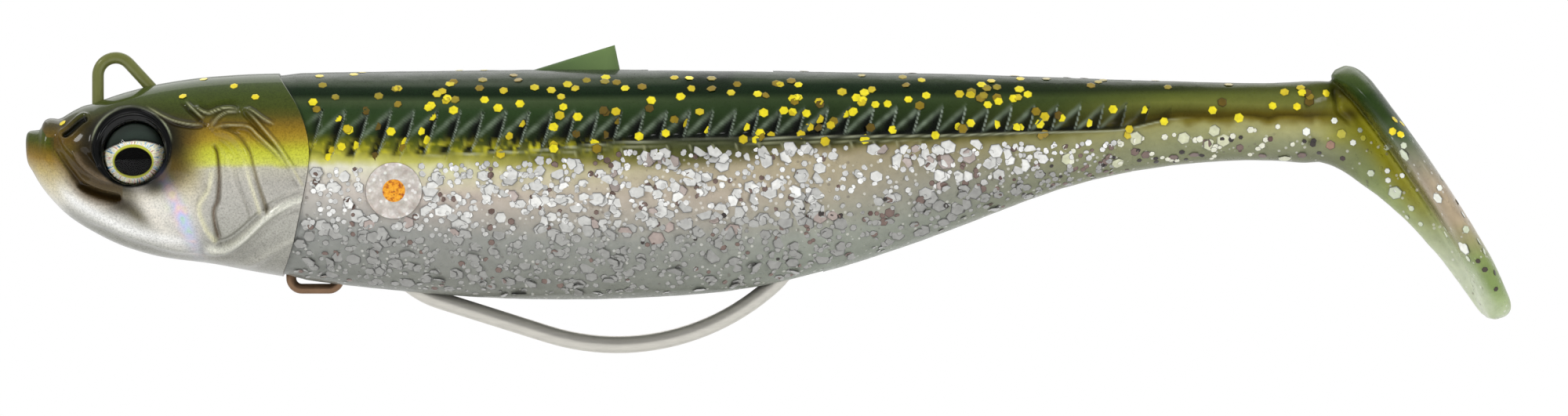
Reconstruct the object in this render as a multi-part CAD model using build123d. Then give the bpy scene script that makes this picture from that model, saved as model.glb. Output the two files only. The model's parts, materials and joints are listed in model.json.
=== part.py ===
from build123d import *
import math
import os

# Weedless paddle-tail swimbait, 125 mm long, on a hinged wide-gap jig hook.
# Frame: +X runs from the nose to the tail, +Z is up, the lure is symmetric about Y = 0.
# The origin is the centre of the line-tie loop's arc. The fish's left side is -Y.

# ---------------------------------------------------------------- driving sizes
# (x, z of the back, z of the belly, half width) of the cast head
HEAD = [
    (-7.37, -4.98, -7.15, 1.10),
    (-6.98, -4.55, -8.08, 1.90),
    (-6.32, -4.18, -9.20, 2.60),
    (-5.39, -3.62, -10.39, 3.20),
    (-3.81, -3.16, -11.91, 3.90),
    (-1.83, -2.34, -13.16, 4.70),
    (0.81, -1.41, -14.41, 5.50),
    (4.11, -0.62, -15.31, 6.15),
    (8.07, -0.09, -15.83, 6.60),
    (12.03, 0.15, -16.56, 6.85),
    (16.65, 0.24, -17.32, 7.00),
]
NOSE_TIP_X = -7.57
# the same for the soft body and the tail wrist
BODY = [
    (13.02, 0.17, -16.72, 6.90),
    (16.65, 0.24, -17.35, 7.00),
    (21.93, 0.32, -17.98, 7.10),
    (29.85, 0.44, -18.67, 7.10),
    (37.77, 0.50, -18.92, 7.00),
    (45.69, 0.50, -18.70, 6.75),
    (52.29, 0.44, -18.11, 6.40),
    (58.89, 0.34, -16.72, 6.00),
    (65.49, 0.22, -14.71, 5.50),
    (72.09, 0.09, -12.30, 4.95),
    (78.69, -0.13, -9.83, 4.30),
    (85.29, -0.36, -8.14, 3.75),
    (91.89, -0.55, -7.29, 3.35),
    (98.49, -0.57, -7.22, 3.10),
    (102.45, -0.49, -8.01, 3.00),
    (104.76, -0.75, -9.20, 2.80),
]
# rear rim of the gill cover, seen from the side (x, z)
SEAM = [
    (13.35, 1.60), (13.81, 0.12), (15.13, -2.01), (15.99, -3.85), (16.49, -6.16),
    (16.39, -8.05), (15.99, -10.26), (15.46, -12.76), (14.98, -14.61),
    (14.14, -16.79), (13.48, -18.60),
]

TIE_WIRE_R = 0.50        # line-tie wire
TIE_ARC_R = 1.50         # its centreline radius at the top
LOOP_WIRE_R = 0.425      # belly loop wire
LOOP_X0, LOOP_X1, LOOP_Z = 14.77, 18.83, -17.95
LOOP_CORNER_R = 0.90
LOOP_TOP_Z = -13.90

EYE_CENTRE = (1.60, 5.36, -6.43)
EYE_NORMAL = (-0.22, 0.955, 0.18)
EYE_R = 2.64
EYE_POCKET_R = 2.70
EYE_DEPTH = 1.00
EYE_DISC_T = 0.20
EYE_RIM_T = 0.30
EYE_DOME_H = 1.10

TANG_Z, TANG_R, TANG_X1 = -9.70, 2.50, 26.60
LOCK_X = 23.61
LOCK_PIN_R = 0.95
LOCK_WASHER_R, LOCK_WASHER_Y0, LOCK_WASHER_Y1 = 2.35, 6.35, 7.02

PIVOT = (21.67, -15.14)  # hook hinge (x, z)
HINGE_PIN_R = 0.60
EAR_R, EAR_Y0, EAR_Y1 = 1.85, 0.82, 1.90
LUG_X0, LUG_X1, LUG_Z0, LUG_Z1 = 12.60, 19.00, -16.30, -13.20

HOOK_R = 0.725
HOOK_EYE_WIRE_R = 0.76   # the eye is swaged a little thicker than the shank
HOOK_EYE_R = HINGE_PIN_R + 0.05 + HOOK_EYE_WIRE_R
SLOT_HALF = 0.975        # half width of the slot that the hook swings in
HOOK_UP = 7.0            # degrees the point can rise out of the back

FIN = [(35.00, 0.44), (42.00, 2.58), (42.46, 0.44)]
FIN_HALF = 0.45
FIN_AXIS_Z = -0.15
FIN_SWING = 25.0

SWAY_X, SWAY_R, SWAY_GAP, SWAY_MAX = 68.00, 5.28, 0.30, 20.0
KICK_X, KICK_R, KICK_GAP, KICK_MAX = 97.20, 3.08, 0.25, 35.0

PADDLE_REAR = [
    (103.51, 0.90), (104.43, 0.63), (105.42, -0.16), (106.41, -1.35), (107.73, -3.13),
    (110.37, -6.82), (113.01, -10.78), (115.65, -15.14), (116.97, -17.98),
    (117.43, -19.36), (117.10, -20.16), (116.18, -20.55),
]
PADDLE_FRONT = [
    (115.45, -20.42), (114.60, -19.30), (113.60, -16.55), (111.05, -11.98),
    (108.44, -8.06), (105.84, -4.44), (103.40, -1.40), (102.30, -0.20), (102.60, 0.50),
]
KEEL_LOWER = [
    (114.33, -19.23), (113.01, -17.38), (111.69, -15.60), (110.37, -14.08),
    (109.05, -12.63), (107.73, -11.38), (106.41, -10.26), (105.09, -9.33),
    (103.60, -8.25), (102.20, -7.55), (100.50, -7.00), (99.00, -6.70),
]
PADDLE_CENTRE, PADDLE_TILT = (109.85, -9.95), (0.845, 0.535)
PADDLE_HALF_L, PADDLE_HALF_W = 12.55, 6.75


# ---------------------------------------------------------------- helpers
def v(x, z, y=0.0):
    return Vector(x, y, z)


def section(x, top, bottom, half):
    plane = Plane(origin=(x, 0, (top + bottom) / 2), x_dir=(0, 1, 0), z_dir=(1, 0, 0))
    return plane * Ellipse(half, (top - bottom) / 2)


def hull(table):
    return loft([section(*row) for row in table])


def polygon(points):
    return make_face(Polyline(*[v(x, z) for x, z in points], close=True))


def slab(points, half):
    """A side-view outline given a thickness of half on each side of Y = 0."""
    return extrude(polygon(points), amount=half, dir=(0, 1, 0), both=True)


def upright(x, r):
    """A cylinder about a vertical axis, taller than the lure."""
    return Pos(x, 0, -10) * Cylinder(r, 60)


def cross(x, z, r, y0, y1):
    """A cylinder along Y from y0 to y1."""
    return Pos(x, (y0 + y1) / 2, z) * Rot(90, 0, 0) * Cylinder(r, y1 - y0)


def block(x0, x1, y0, y1, z0, z1):
    return Pos((x0 + x1) / 2, (y0 + y1) / 2, (z0 + z1) / 2) * Box(x1 - x0, y1 - y0, z1 - z0)


def rod(path, r):
    start = path @ 0
    plane = Plane(origin=start, z_dir=path % 0)
    return sweep(plane * Circle(r), path=path)


def save(shape, name):
    solids = shape.solids()
    out = solids[0] if len(solids) == 1 else Compound(children=list(solids))
    out.label = name
    export_step(out, "parts/" + name + ".step")
    print(name, len(solids), round(sum(s.volume for s in solids), 2))


# ---------------------------------------------------------------- wires
p0 = v(-TIE_ARC_R, -4.20)
p1 = v(-TIE_ARC_R, 0)
a_end = math.radians(42.7)
a_mid = (math.pi + a_end) / 2
p2 = v(TIE_ARC_R * math.cos(a_mid), TIE_ARC_R * math.sin(a_mid))
p3 = v(TIE_ARC_R * math.cos(a_end), TIE_ARC_R * math.sin(a_end))
p4 = v(p3.X + 5.4 * math.sin(a_end), p3.Z - 5.4 * math.cos(a_end))
line_tie = rod(Wire([Line(p0, p1), ThreePointArc(p1, p2, p3), Line(p3, p4)]), TIE_WIRE_R)

loop_path = FilletPolyline(
    v(LOOP_X0, LOOP_TOP_Z), v(LOOP_X0, LOOP_Z), v(LOOP_X1, LOOP_Z), v(LOOP_X1, LOOP_TOP_Z),
    radius=LOOP_CORNER_R,
)
belly_loop = rod(loop_path, LOOP_WIRE_R)

# ---------------------------------------------------------------- hook
# Centreline: out of the eye, down through the belly, the long bend, up and forward to the point.
heading0 = math.radians(-38.3)
s0 = (PIVOT[0] + HOOK_EYE_R * math.cos(heading0), PIVOT[1] + HOOK_EYE_R * math.sin(heading0))
knee = (25.954, -18.52)
t_knee = 8.0 * math.tan(math.radians(21.2 / 2))
d0 = (math.cos(heading0), math.sin(heading0))
h1 = math.radians(-17.06)
d1 = (math.cos(h1), math.sin(h1))
bend_c, bend_r = (42.20, -3.06), 19.60


def on_bend(deg):
    a = math.radians(deg)
    return (bend_c[0] + bend_r * math.sin(a), bend_c[1] - bend_r * math.cos(a))


rise_r = 9.24
e1 = on_bend(41)
rise_c = (e1[0] - rise_r * math.sin(math.radians(41)), e1[1] + rise_r * math.cos(math.radians(41)))


def on_rise(deg):
    a = math.radians(deg)
    return (rise_c[0] + rise_r * math.sin(a), rise_c[1] - rise_r * math.cos(a))


point_heading = math.radians(155)
dp = (math.cos(point_heading), math.sin(point_heading))
e2 = on_rise(155)
POINT_TAPER = 4.20
POINT_RUN = 5.80
e3 = (e2[0] + dp[0] * (POINT_RUN - POINT_TAPER), e2[1] + dp[1] * (POINT_RUN - POINT_TAPER))
tip = (e2[0] + dp[0] * POINT_RUN, e2[1] + dp[1] * POINT_RUN)

k_in = (knee[0] - d0[0] * t_knee, knee[1] - d0[1] * t_knee)
k_out = (knee[0] + d1[0] * t_knee, knee[1] + d1[1] * t_knee)
b0 = on_bend(-17.06)
knee_mid_n = ((d1[0] - d0[0]), (d1[1] - d0[1]))
nn = math.hypot(*knee_mid_n)
sag = 8.0 / math.cos(math.radians(10.6)) - 8.0
k_mid = (knee[0] + knee_mid_n[0] / nn * sag, knee[1] + knee_mid_n[1] / nn * sag)
hook_path = Wire([
    Line(v(*s0), v(*k_in)),
    ThreePointArc(v(*k_in), v(*k_mid), v(*k_out)),
    Line(v(*k_out), v(*b0)),
    ThreePointArc(v(*b0), v(*on_bend(12)), v(*e1)),
    ThreePointArc(v(*e1), v(*on_rise(98)), v(*e2)),
    Line(v(*e2), v(*e3)),
])
wire = rod(hook_path, HOOK_R)
eye_ring = Pos(PIVOT[0], 0, PIVOT[1]) * Rot(90, 0, 0) * Torus(HOOK_EYE_R, HOOK_EYE_WIRE_R)
cone_plane = Plane(origin=v(*e3), z_dir=(dp[0], 0, dp[1]))
point = cone_plane * (Pos(0, 0, POINT_TAPER / 2 - 0.15) * Cone(HOOK_R - 0.02, 0.06, POINT_TAPER + 0.30))
nb = (-dp[1], dp[0])  # towards the gap


def along(t, off):
    return (tip[0] - dp[0] * t + nb[0] * off, tip[1] - dp[1] * t + nb[1] * off)


barb = slab([along(2.6, 0.20), along(4.9, 0.95), along(4.4, 0.30)], 0.22)
hook = wire + eye_ring + point + barb
hinge_pin = cross(PIVOT[0], PIVOT[1], HINGE_PIN_R, -EAR_Y1 + 0.02, EAR_Y1 - 0.02)

# ---------------------------------------------------------------- the slot that the hook swings in
centre = [s0, k_in, knee, k_out]
centre += [(k_out[0] + (b0[0] - k_out[0]) * t / 6, k_out[1] + (b0[1] - k_out[1]) * t / 6) for t in range(1, 7)]
centre += [on_bend(a) for a in range(-14, 42, 4)]
centre += [on_rise(a) for a in range(45, 156, 5)]
centre += [(e2[0] + dp[0] * t, e2[1] + dp[1] * t) for t in (1, 2, 3, 4, 5, 5.8)]
polar = [(math.hypot(x - PIVOT[0], z - PIVOT[1]), math.atan2(z - PIVOT[1], x - PIVOT[0])) for x, z in centre]
r_max = max(p[0] for p in polar) + HOOK_R + 0.35


def upper_angle(r):
    near = [a for rho, a in polar if abs(rho - r) < HOOK_R + 0.9]
    return max(near) + math.radians(HOOK_UP + 1.2) + math.asin(min(1.0, (HOOK_R + 0.45) / r))


def at(r, a):
    return (PIVOT[0] + r * math.cos(a), PIVOT[1] + r * math.sin(a))


radii = [3.2, 4.5, 6.5, 9, 12, 15, 17, 19, 21, 22.5, 24, 25.2, 26.3, 27.3]
tip_r = math.hypot(tip[0] - PIVOT[0], tip[1] - PIVOT[1])
inner_r = tip_r - 0.70
slot_outline = [(13.0, -32.0), (13.0, LUG_Z0), (19.3, LUG_Z0), (19.3, -12.83), (23.6, -12.83)]
slot_outline += [at(r, upper_angle(r)) for r in radii if r < inner_r - 0.4]
slot_outline += [at(inner_r, upper_angle(inner_r - 0.4)), at(inner_r, math.radians(45))]
top_a = max(a for _, a in polar) + math.radians(HOOK_UP + 4)
slot_outline += [at(r, math.radians(d)) for r, d in ((33.0, 42), (34.8, 36), (36.4, 29), (37.6, 22))]
slot_outline += [at(r_max, math.radians(d)) for d in (16, 8, 0, -8, -16, -24)]
slot_outline += [(at(r_max, math.radians(-24))[0], -32.0)]
slot = slab(slot_outline, SLOT_HALF)

# ---------------------------------------------------------------- tang and lug of the head
tang_bar = Pos((12.5 + TANG_X1) / 2, 0, TANG_Z) * Rot(0, 90, 0) * Cylinder(TANG_R, TANG_X1 - 12.5)
tang_nose = Pos(TANG_X1 + 0.4, 0, TANG_Z) * Rot(0, 90, 0) * Cone(TANG_R, TANG_R - 0.8, 0.8)


def barb_ring(x, extra=0.0):
    return Pos(x, 0, TANG_Z) * Rot(0, 90, 0) * Cone(TANG_R + 0.45 + extra, TANG_R - 0.05 + extra, 1.5)


tang = tang_bar + tang_nose + barb_ring(18.30) + barb_ring(20.70)
lug = block(LUG_X0, LUG_X1, -EAR_Y1, EAR_Y1, LUG_Z0, LUG_Z1)
ears = []
for side in (-1, 1):
    y0, y1 = sorted((side * EAR_Y0, side * EAR_Y1))
    ears.append(cross(PIVOT[0], PIVOT[1], EAR_R, y0, y1))
    ears.append(block(LUG_X1 - 0.2, PIVOT[0], y0, y1, LUG_Z0, LUG_Z1))
clearance = 0.05
tang_space = (
    Pos((12.5 + TANG_X1) / 2, 0, TANG_Z) * Rot(0, 90, 0) * Cylinder(TANG_R + clearance, TANG_X1 - 12.5)
    + Pos(TANG_X1 + 0.5, 0, TANG_Z) * Rot(0, 90, 0) * Cylinder(TANG_R + clearance, 1.0)
    + barb_ring(18.30, clearance) + barb_ring(20.70, clearance)
)
lug_space = block(LUG_X0 - 1, PIVOT[0], -EAR_Y1 - clearance, EAR_Y1 + clearance, LUG_Z0 - clearance, LUG_Z1 + clearance)
lug_space += cross(PIVOT[0], PIVOT[1], EAR_R + clearance, -EAR_Y1 - clearance, EAR_Y1 + clearance)

# ---------------------------------------------------------------- side-view seam between head and soft body
seam_edge = Spline(*[v(x, z) for x, z in SEAM])
rear_face = make_face([
    seam_edge,
    Polyline(v(*SEAM[-1]), v(SEAM[-1][0], -40), v(160, -40), v(160, 20), v(SEAM[0][0], 20), v(*SEAM[0])),
])
rear_region = extrude(rear_face, amount=12, dir=(0, 1, 0), both=True)

# ---------------------------------------------------------------- head
head = hull(HEAD)
nose_x, nose_top, nose_bottom, nose_half = HEAD[0]
nose = Pos(nose_x, 0, (nose_top + nose_bottom) / 2) * scale(
    Sphere(1.0), by=(abs(NOSE_TIP_X - nose_x), nose_half, (nose_top - nose_bottom) / 2)
)
head = (head - rear_region) + nose + tang + lug
for e in ears:
    head += e


def eye_plane(side, lift):
    n = Vector(EYE_NORMAL[0], side * EYE_NORMAL[1], EYE_NORMAL[2]).normalized()
    c = Vector(EYE_CENTRE[0], side * EYE_CENTRE[1], EYE_CENTRE[2]) + n * lift
    return Plane(origin=c, z_dir=n)


eye_parts = {}
for side, name in ((-1, "left"), (1, "right")):
    floor = eye_plane(side, -EYE_DEPTH)
    head -= floor * (Pos(0, 0, 2.5) * Cylinder(EYE_POCKET_R, 5.0))
    eye_parts["eye_disc_" + name] = floor * (Pos(0, 0, EYE_DISC_T / 2) * Cylinder(EYE_R, EYE_DISC_T))
    sphere_r = (EYE_R ** 2 + EYE_DOME_H ** 2) / (2 * EYE_DOME_H)
    base = EYE_DISC_T + EYE_RIM_T
    dome = Pos(0, 0, base + EYE_DOME_H - sphere_r) * Sphere(sphere_r)
    dome &= Pos(0, 0, base + 2.0) * Cylinder(EYE_R, 4.0)
    lens = dome + Pos(0, 0, EYE_DISC_T + EYE_RIM_T / 2) * Cylinder(EYE_R, EYE_RIM_T)
    eye_parts["eye_lens_" + name] = floor * lens
head -= line_tie
head -= belly_loop
head -= cross(PIVOT[0], PIVOT[1], HINGE_PIN_R, -5, 5)
head -= cross(LOCK_X, TANG_Z, LOCK_PIN_R + 0.02, -5, 5)

# ---------------------------------------------------------------- locking pin and its washers
lock_pin = cross(LOCK_X, TANG_Z, LOCK_PIN_R, -LOCK_WASHER_Y1, LOCK_WASHER_Y1)
washers = {}
for side, name in ((-1, "left"), (1, "right")):
    y0, y1 = sorted((side * LOCK_WASHER_Y0, side * LOCK_WASHER_Y1))
    washers["lock_washer_" + name] = cross(LOCK_X, TANG_Z, LOCK_WASHER_R, y0, y1) - cross(LOCK_X, TANG_Z, LOCK_PIN_R, y0, y1)

# ---------------------------------------------------------------- dorsal fin
fin_blade = slab([(FIN[0][0], FIN_AXIS_Z), (FIN[0][0], FIN[0][1]), FIN[1], FIN[2], (FIN[2][0], FIN_AXIS_Z)], FIN_HALF)
fin_len = FIN[2][0] - FIN[0][0]
fin_bead = Pos((FIN[0][0] + FIN[2][0]) / 2, 0, FIN_AXIS_Z) * Rot(0, 90, 0) * Cylinder(FIN_HALF, fin_len)
fin = fin_blade + fin_bead
fin_groove = Pos((FIN[0][0] + FIN[2][0]) / 2, 0, FIN_AXIS_Z) * Rot(0, 90, 0) * Cylinder(FIN_HALF + 0.06, fin_len + 2)
root_top = FIN_AXIS_Z - (FIN_HALF + 0.06) * math.sin(math.radians(FIN_SWING)) - 0.06
fin_root = block(FIN[0][0] - 0.4, FIN[2][0] + 0.4, -0.95, 0.95, -1.80, root_top) - fin_groove
root_space = block(FIN[0][0] - 0.4, FIN[2][0] + 0.4, -0.95, 0.95, -1.80, root_top + 0.01)
vee = make_face(Polyline(
    Vector(FIN[0][0] - 0.15, -0.62, root_top), Vector(FIN[0][0] - 0.15, 0.62, root_top),
    Vector(FIN[0][0] - 0.15, 1.12, 1.2), Vector(FIN[0][0] - 0.15, -1.12, 1.2), close=True))
fin_space = root_space + extrude(vee, amount=fin_len + 0.30, dir=(1, 0, 0))

# ---------------------------------------------------------------- soft body, tail stem, paddle
whole = hull(BODY)
soft_body = whole & rear_region
horn_x = SWAY_X - (SWAY_R + SWAY_GAP) * math.sin(math.radians(SWAY_MAX + 1.5)) - 0.10
soft_body -= block(horn_x, 160, -20, 20, -40, 20)
soft_body -= upright(SWAY_X, SWAY_R + SWAY_GAP)
soft_body -= tang_space
soft_body -= lug_space
soft_body -= slot
soft_body -= fin_space
soft_body -= cross(LOCK_X, TANG_Z, LOCK_PIN_R + 0.02, -9, 9)
for side in (-1, 1):
    y0, y1 = sorted((side * LOCK_WASHER_Y0, side * 9.0))
    soft_body -= cross(LOCK_X, TANG_Z, LOCK_WASHER_R + 0.01, y0, y1)

behind_sway = block(SWAY_X, 160, -20, 20, -40, 20) + upright(SWAY_X, SWAY_R)
kick_horn_x = KICK_X - (KICK_R + KICK_GAP) * math.sin(math.radians(KICK_MAX + 1.5)) - 0.10
tail_stem = whole & behind_sway
tail_stem -= block(kick_horn_x, 160, -20, 20, -40, 20)
tail_stem -= upright(KICK_X, KICK_R + KICK_GAP)

behind_kick = block(KICK_X, 160, -20, 20, -40, 20) + upright(KICK_X, KICK_R)
wrist = whole & behind_kick
band = make_face([
    Spline(*[v(x, z) for x, z in PADDLE_REAR]),
    Line(v(*PADDLE_REAR[-1]), v(*PADDLE_FRONT[0])),
    Spline(*[v(x, z) for x, z in PADDLE_FRONT]),
    Line(v(*PADDLE_FRONT[-1]), v(*PADDLE_REAR[0])),
])
disc = extrude(band, amount=9, dir=(0, 1, 0), both=True)
tilt = Vector(PADDLE_TILT[0], 0, PADDLE_TILT[1]).normalized()
oval_plane = Plane(origin=v(*PADDLE_CENTRE), x_dir=(0, 1, 0), z_dir=tilt)
oval = extrude(oval_plane * Ellipse(PADDLE_HALF_W, PADDLE_HALF_L), amount=12, both=True)
disc &= oval
inner_edge = [(x + 0.76, z + 0.48) for x, z in reversed(PADDLE_FRONT[2:6])]  # inside the disc
keel = slab([(99.0, -1.6), (103.6, -1.9)] + inner_edge + [(114.75, -18.90)] + KEEL_LOWER, 1.85)
paddle = wrist + disc + keel

# ---------------------------------------------------------------- write the pieces
os.makedirs("parts", exist_ok=True)
pieces = {
    "head_casting": head,
    "line_tie_wire": line_tie,
    "belly_loop_wire": belly_loop,
    "weedless_hook": hook,
    "hook_hinge_pin": hinge_pin,
    "body_lock_pin": lock_pin,
    "dorsal_fin": fin,
    "dorsal_fin_root": fin_root,
    "soft_body": soft_body,
    "tail_stem": tail_stem,
    "paddle_tail": paddle,
}
pieces.update(eye_parts)
pieces.update(washers)
for name, shape in pieces.items():
    save(shape, name)
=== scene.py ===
import json
import math

import bpy
import numpy as np
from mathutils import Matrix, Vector

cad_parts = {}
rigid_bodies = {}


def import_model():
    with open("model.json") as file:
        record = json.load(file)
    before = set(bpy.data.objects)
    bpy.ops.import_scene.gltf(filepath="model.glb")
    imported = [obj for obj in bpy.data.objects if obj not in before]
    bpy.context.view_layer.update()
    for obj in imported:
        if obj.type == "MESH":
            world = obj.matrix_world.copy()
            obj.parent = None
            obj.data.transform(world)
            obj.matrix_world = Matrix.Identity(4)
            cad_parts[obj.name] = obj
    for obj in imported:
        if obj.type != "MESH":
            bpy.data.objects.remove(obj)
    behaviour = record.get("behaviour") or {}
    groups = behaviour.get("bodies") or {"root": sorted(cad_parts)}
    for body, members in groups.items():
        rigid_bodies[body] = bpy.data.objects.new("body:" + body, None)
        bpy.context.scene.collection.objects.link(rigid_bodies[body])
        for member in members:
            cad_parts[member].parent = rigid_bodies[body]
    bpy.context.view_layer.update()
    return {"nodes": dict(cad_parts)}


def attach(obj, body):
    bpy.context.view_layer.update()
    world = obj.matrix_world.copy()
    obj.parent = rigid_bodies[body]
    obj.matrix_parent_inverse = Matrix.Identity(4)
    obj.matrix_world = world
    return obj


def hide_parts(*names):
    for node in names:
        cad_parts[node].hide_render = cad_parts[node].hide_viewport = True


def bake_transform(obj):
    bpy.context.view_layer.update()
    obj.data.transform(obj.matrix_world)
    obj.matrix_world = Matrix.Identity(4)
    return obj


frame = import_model()
nodes = frame["nodes"]
MM = 0.001
rng = np.random.default_rng(20)

# ------------------------------------------------------------------ tables, in mm: x, back, belly, half width
HEAD = np.array([
    (-6.98, -4.70, -8.08, 1.90), (-6.32, -4.36, -9.20, 2.60), (-5.39, -3.62, -10.39, 3.20),
    (-3.81, -3.10, -11.91, 3.90), (-1.83, -2.34, -13.16, 4.70), (0.81, -1.41, -14.41, 5.50),
    (4.11, -0.62, -15.31, 6.15), (8.07, -0.09, -15.83, 6.60), (12.03, 0.15, -16.56, 6.85),
    (16.65, 0.24, -17.32, 7.00),
])
BODY = np.array([
    (13.02, 0.17, -16.72, 6.90), (16.65, 0.24, -17.35, 7.00), (21.93, 0.32, -17.98, 7.10),
    (29.85, 0.44, -18.67, 7.10), (37.77, 0.50, -18.92, 7.00), (45.69, 0.50, -18.70, 6.75),
    (52.29, 0.44, -18.11, 6.40), (58.89, 0.34, -16.72, 6.00), (65.49, 0.22, -14.71, 5.50),
    (72.09, 0.09, -12.30, 4.95), (78.69, -0.13, -9.83, 4.30), (85.29, -0.36, -8.14, 3.75),
    (91.89, -0.55, -7.29, 3.35), (98.49, -0.57, -7.22, 3.10), (102.45, -0.49, -8.01, 3.00),
    (104.76, -0.75, -9.20, 2.80),
])
SEAM = np.array([
    (13.35, 1.60), (13.81, 0.12), (15.13, -2.01), (15.99, -3.85), (16.49, -6.16), (16.39, -8.05),
    (15.99, -10.26), (15.46, -12.76), (14.98, -14.61), (14.14, -16.79), (13.48, -18.60),
])
NOSE_X = -7.57
NOSE_TOP = [(-7.557, -5.35), (-7.50, -5.0), (-7.40, -4.80), (-7.135, -4.646), (-6.712, -4.594),
            (-6.435, -4.554), (-6.25, -4.336), (-6.105, -3.986), (-5.92, -3.749), (-5.722, -3.637), (-5.485, -3.584),
            (-5.194, -3.597), (-4.864, -3.63), (-4.534, -3.538), (-4.072, -3.26), (-3.359, -2.851),
            (-2.62, -2.52), (-1.828, -2.336), (-0.838, -1.95)]


# ------------------------------------------------------------------ small numeric helpers
def spline(xs, ys):
    """Natural cubic spline."""
    xs, ys = np.asarray(xs, float), np.asarray(ys, float)
    n = len(xs)
    h = np.diff(xs)
    a = np.zeros((n, n))
    b = np.zeros(n)
    a[0, 0] = a[-1, -1] = 1
    for i in range(1, n - 1):
        a[i, i - 1], a[i, i], a[i, i + 1] = h[i - 1], 2 * (h[i - 1] + h[i]), h[i]
        b[i] = 6 * ((ys[i + 1] - ys[i]) / h[i] - (ys[i] - ys[i - 1]) / h[i - 1])
    m = np.linalg.solve(a, b)

    def f(x):
        x = np.asarray(x, float)
        i = np.clip(np.searchsorted(xs, x) - 1, 0, n - 2)
        t, u = x - xs[i], xs[i + 1] - x
        return (m[i] * u ** 3 + m[i + 1] * t ** 3) / (6 * h[i]) + (ys[i] / h[i] - m[i] * h[i] / 6) * u + (
            ys[i + 1] / h[i] - m[i + 1] * h[i] / 6) * t

    return f


def pchip(xs, ys):
    """Monotone cubic through the points."""
    xs, ys = np.asarray(xs, float), np.asarray(ys, float)
    h, d = np.diff(xs), np.diff(ys) / np.diff(xs)
    m = np.zeros(len(xs))
    m[0], m[-1] = d[0], d[-1]
    for i in range(1, len(xs) - 1):
        if d[i - 1] * d[i] > 0:
            w1, w2 = 2 * h[i] + h[i - 1], h[i] + 2 * h[i - 1]
            m[i] = (w1 + w2) / (w1 / d[i - 1] + w2 / d[i])

    def f(x):
        x = np.asarray(x, float)
        x = np.clip(x, xs[0], xs[-1])
        i = np.clip(np.searchsorted(xs, x) - 1, 0, len(xs) - 2)
        t = (x - xs[i]) / h[i]
        return ((1 + 2 * t) * (1 - t) ** 2 * ys[i] + t * (1 - t) ** 2 * h[i] * m[i]
                + t * t * (3 - 2 * t) * ys[i + 1] + t * t * (t - 1) * h[i] * m[i + 1])

    return f


def smooth(lo, hi, x):
    t = np.clip((np.asarray(x, float) - lo) / (hi - lo), 0, 1)
    return t * t * (3 - 2 * t)


def gauss(x, w):
    return np.exp(-(np.asarray(x, float) / w) ** 2)


def curve_through(points, per=8):
    """Dense Catmull-Rom line through side-view points."""
    p = np.asarray(points, float)
    p = np.vstack([2 * p[0] - p[1], p, 2 * p[-1] - p[-2]])
    out = []
    for i in range(1, len(p) - 2):
        for k in range(per):
            t = k / per
            out.append(0.5 * (2 * p[i] + (p[i + 1] - p[i - 1]) * t
                              + (2 * p[i - 1] - 5 * p[i] + 4 * p[i + 1] - p[i + 2]) * t * t
                              + (3 * p[i] - p[i - 1] - 3 * p[i + 1] + p[i + 2]) * t ** 3))
    out.append(p[-2])
    return np.array(out)


def to_line(q, line, reach):
    """Distance, share along and side of the side-view points q to a line; points farther than reach get 9."""
    dist = np.full(len(q), 9.0)
    along = np.zeros(len(q))
    side = np.ones(len(q))
    lo, hi = line.min(0) - reach, line.max(0) + reach
    near = np.where((q[:, 0] > lo[0]) & (q[:, 0] < hi[0]) & (q[:, 1] > lo[1]) & (q[:, 1] < hi[1]))[0]
    if not len(near):
        return dist, along, side
    p = q[near]
    best = np.full(len(p), 81.0)
    a_best, s_best = np.zeros(len(p)), np.ones(len(p))
    seg = np.diff(line, axis=0)
    length = np.hypot(seg[:, 0], seg[:, 1])
    total = np.concatenate([[0], np.cumsum(length)])
    for k in range(len(seg)):
        r = p - line[k]
        t = np.clip((r @ seg[k]) / max(length[k] ** 2, 1e-12), 0, 1)
        e = r - t[:, None] * seg[k]
        d2 = (e ** 2).sum(1)
        take = d2 < best
        best = np.where(take, d2, best)
        a_best = np.where(take, (total[k] + t * length[k]) / total[-1], a_best)
        s_best = np.where(take, np.sign(seg[k, 0] * r[:, 1] - seg[k, 1] * r[:, 0]), s_best)
    dist[near] = np.sqrt(best)
    along[near], side[near] = a_best, s_best
    return dist, along, side


def ends(t, a=0.12, b=0.12):
    """Fades a line's height in and out at its two ends."""
    return smooth(0, max(a, 1e-6), t) * smooth(0, max(b, 1e-6), 1 - t)


def noise3(p, scale, seed=0):
    """Smooth value noise in -1..1, the same in every run."""
    g = np.random.default_rng(1000 + seed).uniform(-1, 1, (32, 32, 32))
    q = np.asarray(p, float) / scale
    i = np.floor(q).astype(int)
    f = q - i
    f = f * f * (3 - 2 * f)
    out = 0
    for dx in (0, 1):
        for dy in (0, 1):
            for dz in (0, 1):
                w = (f[:, 0] if dx else 1 - f[:, 0]) * (f[:, 1] if dy else 1 - f[:, 1]) * (f[:, 2] if dz else 1 - f[:, 2])
                out = out + w * g[(i[:, 0] + dx) % 32, (i[:, 1] + dy) % 32, (i[:, 2] + dz) % 32]
    return out


def srgb(*c):
    c = np.asarray(c, float) / 255
    return np.where(c <= 0.04045, c / 12.92, ((c + 0.055) / 1.055) ** 2.4)


def mixc(a, b, t):
    t = np.asarray(t)[..., None] if np.ndim(t) else t
    return a * (1 - t) + b * t


# ------------------------------------------------------------------ mesh helpers
def new_mesh(name, verts_mm, faces, smooth_shade=True):
    me = bpy.data.meshes.new(name)
    me.from_pydata((np.asarray(verts_mm) * MM).tolist(), [], faces if isinstance(faces, list) else faces.tolist())
    me.validate()
    me.update()
    if smooth_shade:
        me.shade_smooth()
    ob = bpy.data.objects.new(name, me)
    bpy.context.scene.collection.objects.link(ob)
    return ob


def co_mm(ob):
    a = np.empty(len(ob.data.vertices) * 3, np.float32)
    ob.data.vertices.foreach_get("co", a)
    return a.reshape(-1, 3).astype(float) / MM


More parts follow.
